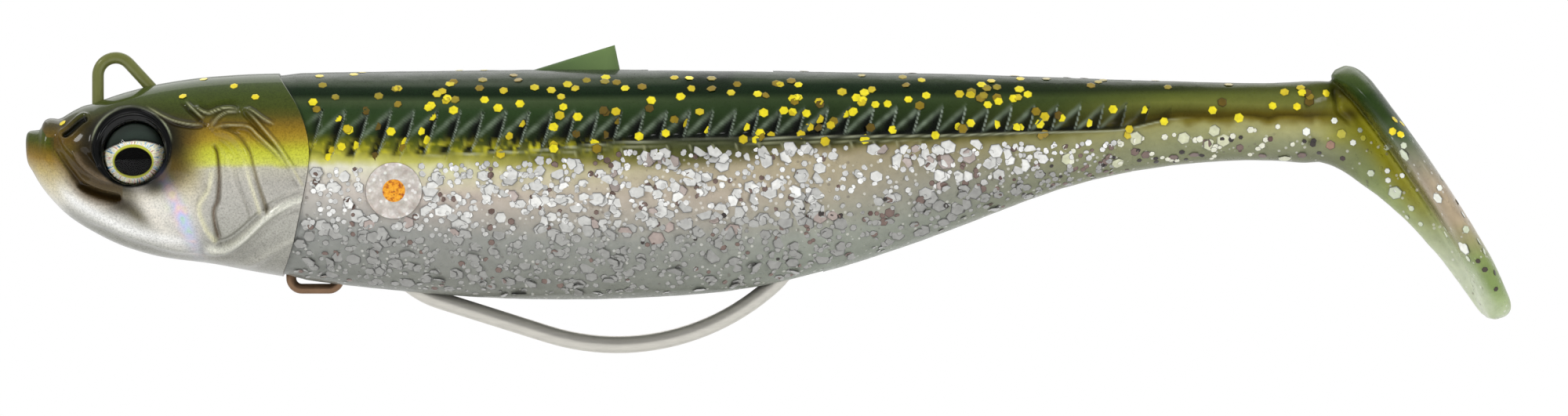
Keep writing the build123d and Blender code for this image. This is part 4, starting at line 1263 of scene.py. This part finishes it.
def mat_body():
    m, nt, b = material("soft_plastic")
    paint, rest = attribute(nt, "paint"), attribute(nt, "rest")
    clear = attribute(nt, "clear")
    cloud = noise_tex(nt, rest.outputs["Vector"], 1.1, 3.0, 0.6)
    shade = ramp(nt, cloud, [(0.25, 0.86), (0.5, 1.0), (0.75, 1.12)])
    col = mix_rgb(nt, 0.8, paint.outputs["Color"], mix_rgb(nt, 1.0, paint.outputs["Color"], shade, "MULTIPLY"))
    # fine glitter suspended in the clear plastic
    v = voronoi(nt, rest.outputs["Vector"], 1.9)
    dots = ramp(nt, v.outputs["Distance"], [(0.20, 1.0), (0.30, 0.0)])
    pick = node(nt, "ShaderNodeSeparateColor")
    nt.links.new(v.outputs["Color"], pick.inputs[0])
    light = mathn(nt, "GREATER_THAN", pick.outputs[0], 0.62)
    darkp = mathn(nt, "LESS_THAN", pick.outputs[0], 0.10)
    lmask = mathn(nt, "MULTIPLY", mathn(nt, "MULTIPLY", dots, light), mathn(nt, "MULTIPLY", clear.outputs["Fac"], 0.42))
    dmask = mathn(nt, "MULTIPLY", mathn(nt, "MULTIPLY", dots, darkp), mathn(nt, "MULTIPLY", clear.outputs["Fac"], 0.45))
    col = mix_rgb(nt, lmask, col, srgb(228, 226, 220))
    col = mix_rgb(nt, dmask, col, srgb(96, 88, 82))
    nt.links.new(col, b.inputs["Base Color"])
    fine = noise_tex(nt, rest.outputs["Vector"], 5.0, 3.0, 0.6)
    nt.links.new(mathn(nt, "ADD", mathn(nt, "MULTIPLY", fine, 0.18), 0.20), b.inputs["Roughness"])
    b.inputs["Coat Weight"].default_value = 0.36
    b.inputs["Coat Roughness"].default_value = 0.14
    b.inputs["Specular IOR Level"].default_value = 0.05
    b.inputs["Subsurface Weight"].default_value = 0.12
    b.inputs["Subsurface Radius"].default_value = (1.0, 0.9, 0.6)
    b.inputs["Subsurface Scale"].default_value = 0.0006
    n1 = bump(nt, fine, 0.00004, 0.5)
    n2 = bump(nt, mathn(nt, "MULTIPLY", dots, clear.outputs["Fac"]), 0.00005, 0.6, n1)
    nt.links.new(n2, b.inputs["Normal"])
    return m


def mat_flake(name, metallic, rough, tint, glow=0.0):
    m, nt, b = material(name)
    paint, rest = attribute(nt, "paint"), attribute(nt, "rest")
    n = noise_tex(nt, rest.outputs["Vector"], 2.2, 2.0, 0.5)
    col = mix_rgb(nt, 1.0, paint.outputs["Color"], ramp(nt, n, [(0.3, 0.86), (0.7, 1.10)]), "MULTIPLY")
    nt.links.new(col, b.inputs["Base Color"])
    b.inputs["Metallic"].default_value = metallic
    b.inputs["Roughness"].default_value = rough
    b.inputs["Coat Weight"].default_value = 0.5
    b.inputs["Coat Roughness"].default_value = 0.1
    return m


def mat_metal(name, colour, rough, metallic=1.0, coat=0.0, scale=(900, 900, 900), vary=0.12, bumpy=0.00001, dark=0.75):
    m, nt, b = material(name)
    tc = node(nt, "ShaderNodeTexCoord")
    mp = node(nt, "ShaderNodeMapping")
    mp.inputs["Scale"].default_value = scale
    nt.links.new(tc.outputs["Object"], mp.inputs["Vector"])
    n = noise_tex(nt, mp.outputs["Vector"], 1.0, 4.0, 0.6)
    c = mix_rgb(nt, n, np.asarray(colour) * dark, np.minimum(np.asarray(colour) * 1.12, 1))
    nt.links.new(c, b.inputs["Base Color"])
    b.inputs["Metallic"].default_value = metallic
    nt.links.new(mathn(nt, "ADD", mathn(nt, "MULTIPLY", n, vary), rough - vary / 2), b.inputs["Roughness"])
    if coat:
        b.inputs["Coat Weight"].default_value = coat
        b.inputs["Coat Roughness"].default_value = 0.08
    nt.links.new(bump(nt, n, bumpy, 0.4), b.inputs["Normal"])
    return m


def mat_pin():
    m, nt, b = material("lock_pin_speckle")
    tc = node(nt, "ShaderNodeTexCoord")
    v = voronoi(nt, tc.outputs["Object"], 3200)
    n = noise_tex(nt, tc.outputs["Object"], 2600, 3.0, 0.6)
    c = ramp(nt, n, [(0.34, srgb(150, 66, 8)), (0.46, srgb(214, 136, 20)), (0.58, srgb(232, 168, 40)), (0.70, srgb(196, 104, 14))])
    s = ramp(nt, v.outputs["Distance"], [(0.12, srgb(120, 40, 6)), (0.3, srgb(255, 255, 255))])
    nt.links.new(mix_rgb(nt, 0.7, c, s, "MULTIPLY"), b.inputs["Base Color"])
    b.inputs["Roughness"].default_value = 0.3
    b.inputs["Coat Weight"].default_value = 0.8
    nt.links.new(bump(nt, n, 0.0001, 0.6), b.inputs["Normal"])
    return m


def mat_washer():
    m, nt, b = material("lock_washer_clear")
    tc = node(nt, "ShaderNodeTexCoord")
    n = noise_tex(nt, tc.outputs["Object"], 1400, 4.0, 0.65)
    v = voronoi(nt, tc.outputs["Object"], 1500)
    c = ramp(nt, n, [(0.30, srgb(166, 158, 150)), (0.5, srgb(188, 181, 174)), (0.68, srgb(214, 211, 206))])
    c = mix_rgb(nt, ramp(nt, v.outputs["Distance"], [(0.15, 0.5), (0.26, 0.0)]), c, srgb(250, 250, 247))
    nt.links.new(c, b.inputs["Base Color"])
    b.inputs["Roughness"].default_value = 0.22
    b.inputs["Coat Weight"].default_value = 1.0
    b.inputs["Subsurface Weight"].default_value = 0.3
    b.inputs["Subsurface Scale"].default_value = 0.0005
    nt.links.new(bump(nt, n, 0.0001, 0.5), b.inputs["Normal"])
    return m


def mat_fin():
    m, nt, b = material("fin_olive")
    rest = attribute(nt, "rest")
    sep = node(nt, "ShaderNodeSeparateXYZ")
    nt.links.new(rest.outputs["Vector"], sep.inputs[0])
    n = noise_tex(nt, rest.outputs["Vector"], 1.5, 2.0, 0.5)
    grad = mathn(nt, "DIVIDE", mathn(nt, "SUBTRACT", sep.outputs[0], 35.0), 8.0, True)
    c = ramp(nt, mathn(nt, "ADD", grad, mathn(nt, "MULTIPLY", mathn(nt, "SUBTRACT", n, 0.5), 0.12)),
             [(0.0, srgb(66, 84, 50)), (0.45, srgb(82, 104, 60)), (0.8, srgb(94, 116, 68)), (1.0, srgb(78, 98, 56))])
    nt.links.new(c, b.inputs["Base Color"])
    b.inputs["Roughness"].default_value = 0.42
    b.inputs["Coat Weight"].default_value = 0.3
    return m


def mat_foil():
    m, nt, b = material("eye_foil_print")
    paint, kind, ray = attribute(nt, "paint"), attribute(nt, "foil"), attribute(nt, "ray")
    n = noise_tex(nt, ray.outputs["Vector"], 9.0, 3.0, 0.7)
    n2 = noise_tex(nt, ray.outputs["Vector"], 26.0, 1.0, 0.6)
    streak = ramp(nt, n, [(0.34, srgb(96, 118, 132)), (0.41, srgb(140, 188, 226)), (0.46, srgb(255, 255, 252)), (0.505, srgb(232, 222, 140)),
                          (0.55, srgb(255, 255, 253)), (0.60, srgb(232, 160, 160)), (0.66, srgb(150, 160, 110))])
    streak = mix_rgb(nt, 0.35, streak, ramp(nt, n2, [(0.4, srgb(150, 156, 156)), (0.55, srgb(255, 255, 252))]), "MULTIPLY")
    nt.links.new(mix_rgb(nt, kind.outputs["Fac"], paint.outputs["Color"], streak), b.inputs["Base Color"])
    nt.links.new(mathn(nt, "MULTIPLY", kind.outputs["Fac"], 0.06), b.inputs["Metallic"])
    b.inputs["Roughness"].default_value = 0.25
    b.inputs["Specular IOR Level"].default_value = 0.02
    return m


def mat_lens():
    m, nt, b = material("eye_lens_clear")
    tc = node(nt, "ShaderNodeTexCoord")
    n = noise_tex(nt, tc.outputs["Object"], 700, 1.0, 0.5)
    nt.links.new(ramp(nt, n, [(0.0, srgb(250, 250, 250)), (1.0, srgb(255, 255, 255))]), b.inputs["Base Color"])
    b.inputs["Roughness"].default_value = 0.03
    clearb = node(nt, "ShaderNodeBsdfTransparent")
    gloss = node(nt, "ShaderNodeBsdfGlossy")
    gloss.inputs["Roughness"].default_value = 0.03
    fres = node(nt, "ShaderNodeFresnel")
    fres.inputs["IOR"].default_value = 1.28
    mix = node(nt, "ShaderNodeMixShader")
    nt.links.new(fres.outputs[0], mix.inputs[0])
    nt.links.new(clearb.outputs[0], mix.inputs[1])
    nt.links.new(gloss.outputs[0], mix.inputs[2])
    nt.links.new(mix.outputs[0], nt.nodes["Material Output"].inputs["Surface"])
    return m


def use(ob, m):
    ob.data.materials.clear()
    ob.data.materials.append(m)


# ------------------------------------------------------------------ assembly
head_m, body_m = mat_head(), mat_body()
head = build_head()
hc = co_mm(head)
col, silver, irid = head_paint(hc)
paint_attr(head, col)
point_attr(head, "silver", silver)
point_attr(head, "irid", irid)
rest_coord(head)
use(head, head_m)
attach(head, "head_body")
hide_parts("head_casting")

tang = build_tang()
rest_coord(tang)
use(tang, mat_metal("raw_casting", srgb(120, 122, 120), 0.45, 0.9, scale=(2200, 2200, 2200)))
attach(tang, "head_body")

# soft body, front part
front = closed_grid("body_skin", shape_body(body_grid(0, SPLIT_X, 600, 300, front=True), True))
fix_normals(front)
cutters = [prism("cut_slot", SLOT, 0.975)]
for sgn in (-1, 1):
    y0, y1 = sorted((sgn * 6.30, sgn * 9.0))
    cutters.append(drum("cut_washer", LOCK[0], LOCK[1], 2.37, y0, y1))
cut(front, cutters)
fix_normals(front)
front.data.set_sharp_from_angle(angle=math.radians(62))


def finish_skin(ob, colour_of):
    co = co_mm(ob)
    q = side_view(co)
    col = colour_of(co, q)
    x, z = q[:, 0], q[:, 1]
    n1, n2 = noise3(co, 1.1, 21), noise3(co, 0.5, 22)
    # blotchy meeting of green and silver
    qq = q.copy()
    zone = gauss(z - (lateral_z(x) - 0.9), 1.0)
    qq[:, 1] += 0.30 * n1 * zone + 0.12 * n2 * zone
    col = colour_of(co, qq)
    # painted shade in the valleys and painted highlights on the facets and thin edges of the slanted wedges
    p, down, k = rib_phase(x, z)
    lat = lateral_z(x)
    top_edge = 2.05 * (1 - p) ** 1.25 + 0.05 + 0.05 * np.sin(k * 2.3 + 1.0)
    d = down - top_edge
    on = smooth(0.0, 0.2, d) * smooth(-0.1, 0.25, z - lat) * smooth(15.5, 17.5, x) * smooth(91, 85, x)
    col = mixc(col, srgb(3, 6, 3), on * smooth(0.25, 0.50, d) * smooth(0.42, 0.74, p) * 0.96 * (1 - 0.25 * smooth(60, 80, x)))
    facet_highlight = gauss(d - 0.26, 0.30) * smooth(-0.1, 0.3, z - lat) * smooth(15.5, 17.5, x) * smooth(88, 80, x)
    # painted shade: a near-black band just above the side line
    col = mixc(col, srgb(2, 5, 3), 0.92 * gauss(z - lat - 0.30, 0.22) * smooth(34, 42, x) * smooth(90, 82, x))
    col = mixc(col, srgb(118, 132, 112), facet_highlight * (0.50 + 0.35 * n2) * smooth(-0.05, 0.12, p))
    edge = gauss(p - 0.972, 0.026) * smooth(0.1, 0.4, down) * smooth(0.0, 0.4, z - lat) * smooth(15.5, 17.5, x) * smooth(88, 80, x)
    col = mixc(col, srgb(150, 164, 146), 0.85 * edge)
    # painted highlight along the side-line threads, painted shade just above them
    th = smooth(24, 30, x) * smooth(91, 87, x)
    col = mixc(col, srgb(160, 164, 138), 0.75 * th * gauss(z - lat, 0.07))
    col = mixc(col, srgb(8, 12, 4), 0.65 * th * gauss(z - lat - 0.20, 0.14) * smooth(30, 40, x))
    # painted highlights on the second thread and the short bars, painted shade just behind each bar
    row = smooth(33, 38, x) * smooth(72, 64, x)
    pb = (x - 0.30 * (lat - z) - 18.2) / RIB
    pb = pb - np.floor(pb)
    bars = smooth(0.30, 0.42, lat - z) * smooth(1.15, 0.7, lat - z) * gauss(pb - 0.5, 0.05)
    col = mixc(col, srgb(146, 148, 118), 0.60 * row * np.maximum(gauss(z - lat + 0.40, 0.065), bars))
    col = mixc(col, srgb(34, 34, 14), 0.50 * row * smooth(0.36, 0.46, lat - z) * smooth(1.15, 0.7, lat - z) * gauss(pb - 0.66, 0.07))
    # mottled yellow under the first wedges
    n3, n4 = noise3(co, 0.34, 23), noise3(co, 0.6, 24)
    mott = gauss(z - px_z(189), 0.55) * smooth(15, 17, x) * smooth(46, 34, x)
    col = mixc(col, srgb(196, 190, 44), 0.75 * mott * np.clip(1.6 * n3, 0, 1))
    col = mixc(col, srgb(70, 78, 12), 0.75 * mott * np.clip(-1.5 * n4, 0, 1))
    # painted shade at the slot's mouth on the back
    col = mixc(col, srgb(12, 26, 8), 0.9 * smooth(-2.0, -0.9, z) * smooth(47.2, 48.3, x) * smooth(52.6, 51.4, x))
    # inside the slot the paint is darkened as painted shade
    slot_shade_mask = (np.abs(co[:, 1]) < 0.99) & (x > 20) & (x < 60) & (z < 0.15)
    col = np.where(slot_shade_mask[:, None], col * 0.65, col)
    paint_attr(ob, np.clip(col, 0, 1))
    point_attr(ob, "clear", smooth(0.2, -1.6, z - (lat - 1.0)))
    rest_coord(ob)


finish_skin(front, lambda co, q: body_color(q))
use(front, body_m)
SWAY = ("head_body", "stem", (0.0589, 0, 0), (0.0780, 0, 0))
KICK = ("stem", "paddle", (0.0919, 0, 0), (0.1025, 0, 0))
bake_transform(front)
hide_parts("soft_body", "tail_stem")

rear = build_rear()
rear_co = co_mm(rear)
rear_co[:, 0] = np.minimum(rear_co[:, 0], 117.430)
set_co_mm(rear, rear_co)
finish_skin(rear, tail_color)
use(rear, body_m)
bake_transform(rear)
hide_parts("paddle_tail")

# dorsal fin
fin = build_fin()
rest_coord(fin)
use(fin, mat_fin())
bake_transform(fin)
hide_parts("dorsal_fin", "dorsal_fin_root")

# eyes
foil_m, lens_m = mat_foil(), mat_lens()
for sgn, side in ((-1, "left"), (1, "right")):
    disc, lens = build_eye(sgn, side)
    col, kind, ray = eye_paint(co_mm(disc))
    paint_attr(disc, col)
    point_attr(disc, "foil", kind)
    point_attr(disc, "ray", ray)
    rest_coord(disc)
    rest_coord(lens)
    use(disc, foil_m)
    use(lens, lens_m)
    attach(disc, "head_body")
    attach(lens, "head_body")
    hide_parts("eye_disc_" + side)
    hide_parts("eye_lens_" + side)

# metal parts keep their own solids
for name, m in (("line_tie_wire", mat_metal("tie_olive", srgb(104, 108, 56), 0.36, 0.2, coat=0.4, scale=(1500, 1500, 1500), dark=0.86)),
                ("belly_loop_wire", mat_metal("loop_bronze", srgb(136, 108, 84), 0.32, 0.85, scale=(1800, 1800, 1800))),
                ("weedless_hook", mat_metal("hook_nickel", srgb(214, 211, 202), 0.36, 0.8, scale=(500, 3200, 3200), vary=0.10)),
                ("hook_hinge_pin", mat_metal("hinge_steel", srgb(176, 174, 168), 0.3, 1.0)),
                ("body_lock_pin", mat_pin())):
    use(nodes[name], m)
washer_m = mat_washer()
for name in ("lock_washer_left", "lock_washer_right"):
    use(nodes[name], washer_m)


# ------------------------------------------------------------------ flakes
def scatter(count, x0, x1, z_of, spread, kind_rng):
    """Points on the body: x uniform, height chosen by a function, both sides."""
    out = []
    while len(out) < count:
        x = kind_rng.uniform(x0, x1)
        z = z_of(x, kind_rng)
        if z is None:
            continue
        top, bot = float(body_top(x)), float(body_bot(x))
        s = (z - (top + bot) / 2) / ((top - bot) / 2)
        if abs(s) > 0.985 or x < float(seam_at(z)) + 0.45:
            continue
        # invert the superellipse for this height
        th = math.asin(max(-1, min(1, s)))
        for _ in range(8):
            c, sn = superellipse(np.array([th]), 2.15)
            th += (s - sn[0]) / max(0.15, math.cos(th))
            th = max(-1.55, min(1.55, th))
        if kind_rng.random() < 0.5:
            th = math.pi - th
        if math.hypot(x - LOCK[0], z - LOCK[1]) < 2.75:
            continue
        if math.hypot(x - LOCK[0], z - LOCK[1]) > 0 and abs(math.cos(th)) < 0.30 and (z < -14 or 44 < x < 56):
            continue
        out.append((x, th, z))
    return out


def lift(x, th, extra=0.0):
    p, n = surface_point(x, th)
    q = side_view(p[None, :])
    h = float(rib_relief(q)[0]) * float(smooth(0.25, 0.60, abs(n[1])))
    return p + n * (h + 0.02 + extra), n


items = {"gold": [], "silver": [], "dark": []}


def add(kind, x, th, r, tilt, colour, sq=1.0):
    p, n = lift(x, th)
    items[kind].append((p, n, r, rng.uniform(0, math.pi / 3), rng.normal(0, tilt, 3), colour, sq))


def gold_z(x, g):
    if x > 82 and g.random() < 0.5:
        return None
    top, lat = float(body_top(x)), float(lateral_z(x))
    return g.uniform(lat - 0.5, top - 0.4)


def silver_z(x, g):
    if x > 60 and g.random() < 0.42:
        return None
    lat, bot = float(lateral_z(x)) - 0.9, float(body_bot(x))
    u = g.random() ** 1.15
    return lat + (bot - lat) * u


for x, th, z in scatter(300, 15.2, 100.5, gold_z, 0, np.random.default_rng(5)):
    v = rng.random()
    c = srgb(236, 220, 34) if v < 0.50 else srgb(206, 184, 30) if v < 0.72 else srgb(140, 118, 24) if v < 0.88 else srgb(96, 78, 20)
    add("gold", x, th, rng.uniform(0.33, 0.40), 0.07, c)
back_rng = np.random.default_rng(12)
for _ in range(80):
    x, th = back_rng.uniform(17, 99), back_rng.uniform(0.75, math.pi - 0.75)
    if (42 < x < 57 and abs(math.cos(th)) < 0.38) or (33.5 < x < 43.5 and abs(math.cos(th)) < 0.22) or (x > 82 and back_rng.random() < 0.5):
        continue
    add("gold", x, th, back_rng.uniform(0.32, 0.39), 0.04, srgb(214, 196, 40) if back_rng.random() < 0.5 else srgb(150, 134, 34))
for x, th, z in scatter(720, 15.4, 78.0, silver_z, 0, np.random.default_rng(6)):
    lat, bot = float(lateral_z(x)), float(body_bot(x))
    f = (lat - 0.9 - z) / (lat - 0.9 - bot)
    w = 1 - smooth(0.30, 0.62, f)
    c = mixc(srgb(150, 150, 146), srgb(248, 248, 244), float(w) * rng.uniform(0.55, 1.0))
    if rng.random() < 0.10 and f < 0.6:
        c = mixc(c, srgb(168, 150, 142), 0.8)
    add("silver", x, th, rng.uniform(0.40, 0.66), 0.16, c, rng.uniform(0.75, 1.0))
for x, th, z in scatter(2300, 15.3, 84.0, silver_z, 0, np.random.default_rng(7)):
    lat, bot = float(lateral_z(x)), float(body_bot(x))
    f = (lat - 0.9 - z) / (lat - 0.9 - bot)
    w = 1 - smooth(0.30, 0.65, f)
    c = mixc(srgb(156, 156, 152), srgb(250, 250, 247), float(w) * rng.uniform(0.4, 1.0))
    if rng.random() < 0.12:
        c = srgb(120, 100, 92)
    add("silver", x, th, rng.uniform(0.15, 0.29), 0.16, c)
for x, th, z in scatter(90, 78.0, 101.5, silver_z, 0, np.random.default_rng(8)):
    big = rng.random() < 0.25
    add("silver", x, th, rng.uniform(0.42, 0.62) if big else rng.uniform(0.18, 0.30), 0.12, srgb(206, 208, 176) if big else srgb(226, 226, 206))


def dark_z(x, g):
    lat, bot = float(lateral_z(x)), float(body_bot(x))
    return bot + (lat - bot) * g.uniform(0.06, 0.52)


for x, th, z in scatter(170, 44.0, 101.0, dark_z, 0, np.random.default_rng(9)):
    if x < 54 and rng.random() < 0.7:
        continue
    v = rng.random()
    add("dark", x, th, rng.uniform(0.14, 0.24) if v < 0.8 else rng.uniform(0.3, 0.42), 0.1, srgb(40, 30, 26) if v < 0.5 else srgb(88, 62, 56) if v < 0.8 else srgb(112, 92, 84))

flake_m = {"gold": mat_flake("gold_flake", 0.25, 0.34, (1, 1, 1)), "silver": mat_flake("silver_flake", 0.45, 0.26, (1, 1, 1)),
           "dark": mat_flake("dark_flake", 0.2, 0.4, (1, 1, 1))}
for kind, list_ in items.items():
    a = [i for i in list_ if i[0][0] < SPLIT_X]
    b = [i for i in list_ if i[0][0] >= SPLIT_X]
    for part, sel, bl in (("front", a, SWAY), ("tail", b, KICK)):
        if not sel:
            continue
        ob = flakes_mesh("flakes_" + kind + "_" + part, sel)
        rest_coord(ob)
        use(ob, flake_m[kind])
        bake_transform(ob)


def on_mesh(ob, spots, kind_rng):
    """Flakes at side-view spots (x, z, radius, colour) on both sides of a piece."""
    from mathutils.bvhtree import BVHTree
    co = co_mm(ob)
    tree = BVHTree.FromPolygons([tuple(c) for c in co], [tuple(p.vertices) for p in ob.data.polygons])
    out = []
    for x, z, r, colour in spots:
        for sgn in (-1, 1):
            y = sgn * 20.0
            k = CAM_D / (CAM_D - 4.0)
            xx, zz = XC + (x - XC) / k, ZC + (z - ZC) / k
            hit = tree.ray_cast(Vector((xx, y, zz)), Vector((0, -sgn, 0)))
            if hit[0] is None:
                continue
            p, n = np.array(hit[0]), np.array(hit[1])
            if n[1] * sgn < 0:
                n = -n
            out.append((p + n * 0.02, n, r, kind_rng.uniform(0, 1), kind_rng.normal(0, 0.06, 3), colour, 1.0))
    return out


GOLD = srgb(236, 214, 32)
g_head = [(-4.6, -3.99, 0.30, GOLD), (5.63, -1.74, 0.33, GOLD), (7.28, -0.29, 0.34, GOLD), (9.92, -0.89, 0.33, GOLD), (11.77, -1.81, 0.32, GOLD)]
ob = flakes_mesh("flakes_gold_head", on_mesh(head, g_head, np.random.default_rng(31)))
rest_coord(ob)
use(ob, flake_m["gold"])
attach(ob, "head_body")

W, W2, BR = srgb(238, 240, 230), srgb(206, 214, 188), srgb(56, 44, 30)
spots = [(px_x(1778), px_z(153), 0.32, GOLD), (px_x(1788), px_z(158), 0.31, GOLD), (px_x(1775), px_z(168), 0.32, GOLD), (px_x(1785), px_z(172), 0.32, GOLD),
         (px_x(1703), px_z(154), 0.26, W), (px_x(1727), px_z(182), 0.25, W), (px_x(1770), px_z(188), 0.26, W2), (px_x(1789), px_z(186), 0.27, W2),
         (px_x(1790), px_z(198), 0.55, W2), (px_x(1667), px_z(168), 0.34, W), (px_x(1772), px_z(230), 0.24, W), (px_x(1783), px_z(242), 0.24, W), (px_x(1781), px_z(246), 0.55, W2),
         (px_x(1771), px_z(218), 0.22, W), (px_x(1790), px_z(224), 0.22, W), (px_x(1838), px_z(228), 0.27, W2), (px_x(1834), px_z(240), 0.27, W), (px_x(1832), px_z(253), 0.46, W),
         (px_x(1858), px_z(258), 0.26, W2), (px_x(1865), px_z(274), 0.30, W), (px_x(1846), px_z(299), 0.30, W), (px_x(1844), px_z(292), 0.26, W2),
         (px_x(1868), px_z(293), 0.32, W2), (px_x(1866), px_z(316), 0.62, W), (px_x(1885), px_z(308), 0.30, W2), (px_x(1892), px_z(321), 0.32, W2),
         (px_x(1872), px_z(330), 0.30, W2), (px_x(1802), px_z(266), 0.24, W2), (px_x(1797), px_z(277), 0.22, W2), (px_x(1814), px_z(286), 0.22, W2),
         (px_x(1736), px_z(166), 0.22, W2), (px_x(1750), px_z(221), 0.30, W2), (px_x(1740), px_z(176), 0.24, srgb(196, 190, 60)), (px_x(1712), px_z(171), 0.40, srgb(184, 176, 50)),
         (px_x(1884), px_z(333), 0.20, BR), (px_x(1893), px_z(344), 0.24, BR), (px_x(1906), px_z(348), 0.24, BR), (px_x(1908), px_z(369), 0.20, BR),
         (px_x(1690), px_z(208), 0.22, srgb(90, 62, 56)), (px_x(1714), px_z(202), 0.22, srgb(60, 42, 40)), (px_x(1698), px_z(185), 0.38, srgb(150, 116, 96)),
         (px_x(1684), px_z(195), 0.20, srgb(60, 52, 48)), (px_x(1693), px_z(119), 0.34, GOLD), (px_x(1655), px_z(136), 0.33, GOLD)]
ob = flakes_mesh("flakes_paddle", on_mesh(rear, spots, np.random.default_rng(32)))
rest_coord(ob)
use(ob, mat_flake("paddle_flake", 0.15, 0.34, (1, 1, 1)))
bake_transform(ob)

# ------------------------------------------------------------------ floor, camera and lights
floor = new_mesh("floor", [(-1500, -1500, -60), (1500, -1500, -60), (1500, 1500, -60), (-1500, 1500, -60)], [[0, 1, 2, 3]], False)
fm, fnt, fb = material("floor_pale")
ftc = node(fnt, "ShaderNodeTexCoord")
fn_ = noise_tex(fnt, ftc.outputs["Object"], 8.0, 2.0, 0.5)
fnt.links.new(ramp(fnt, fn_, [(0.0, srgb(236, 236, 236)), (1.0, srgb(242, 242, 242))]), fb.inputs["Base Color"])
fb.inputs["Roughness"].default_value = 0.9
use(floor, fm)

cam_data = bpy.data.cameras.new("camera")
cam = bpy.data.objects.new("camera", cam_data)
bpy.context.scene.collection.objects.link(cam)
cam.location = (XC * MM, -CAM_D * MM, ZC * MM)
cam.rotation_euler = (math.pi / 2, 0, 0)
cam_data.sensor_width = 36
cam_data.lens = 300
cam_data.clip_start = 0.01
cam_data.clip_end = 20
bpy.context.scene.camera = cam

scene = bpy.context.scene
scene.view_settings.view_transform = "Standard"
world = bpy.data.worlds.new("studio")
scene.world = world
world.use_nodes = True
wnt = world.node_tree
bg = wnt.nodes["Background"]
wtc = wnt.nodes.new("ShaderNodeTexCoord")
wsep = wnt.nodes.new("ShaderNodeSeparateXYZ")
wnt.links.new(wtc.outputs["Generated"], wsep.inputs[0])
# white behind the object, softer from the front, bright overhead
ry = ramp(wnt, mathn(wnt, "ADD", mathn(wnt, "MULTIPLY", wsep.outputs[1], 0.5), 0.5), [(0.0, 0.22), (0.25, 0.26), (0.60, 0.50), (0.980, 0.60), (0.993, 1.0)])
rz = ramp(wnt, mathn(wnt, "ADD", mathn(wnt, "MULTIPLY", wsep.outputs[2], 0.5), 0.5), [(0.0, 0.45), (0.45, 0.75), (0.49, 1.0), (0.60, 1.0), (1.0, 1.0)])
wcol = mix_rgb(wnt, 1.0, ry, rz, "MULTIPLY")
wnt.links.new(wcol, bg.inputs["Color"])
bg.inputs["Strength"].default_value = 1.0


def area(name, loc, target, size, power, size_y=None, gloss=True):
    d = bpy.data.lights.new(name, "AREA")
    d.shape = "RECTANGLE"
    d.size, d.size_y = size, size_y or size
    d.energy = power
    o = bpy.data.objects.new(name, d)
    scene.collection.objects.link(o)
    o.location = loc
    o.rotation_euler = (Vector(target) - Vector(loc)).to_track_quat("-Z", "Y").to_euler()
    o.visible_glossy = gloss
    return o


area("key_top", (0.05, -0.10, 0.46), (0.055, 0, -0.01), 0.50, 1.0, 0.08, False)
area("front_left", (-0.50, -0.52, 0.16), (0.05, 0, -0.01), 0.30, 2.6, 0.30, False)
area("front_right", (0.60, -0.52, 0.14), (0.06, 0, -0.01), 0.30, 2.4, 0.30, False)
area("spark_left", (-0.45, -0.25, 0.38), (0.01, 0, -0.01), 0.12, 0.45, 0.12)
area("spark_right", (0.58, -0.30, 0.36), (0.06, 0, -0.01), 0.12, 0.45, 0.12)
area("fill_low", (0.10, -0.34, -0.30), (0.06, 0, -0.01), 0.50, 0.35, 0.10)
area("back_top", (0.06, 0.35, 0.30), (0.055, 0, -0.01), 0.5, 0.5, 0.3)
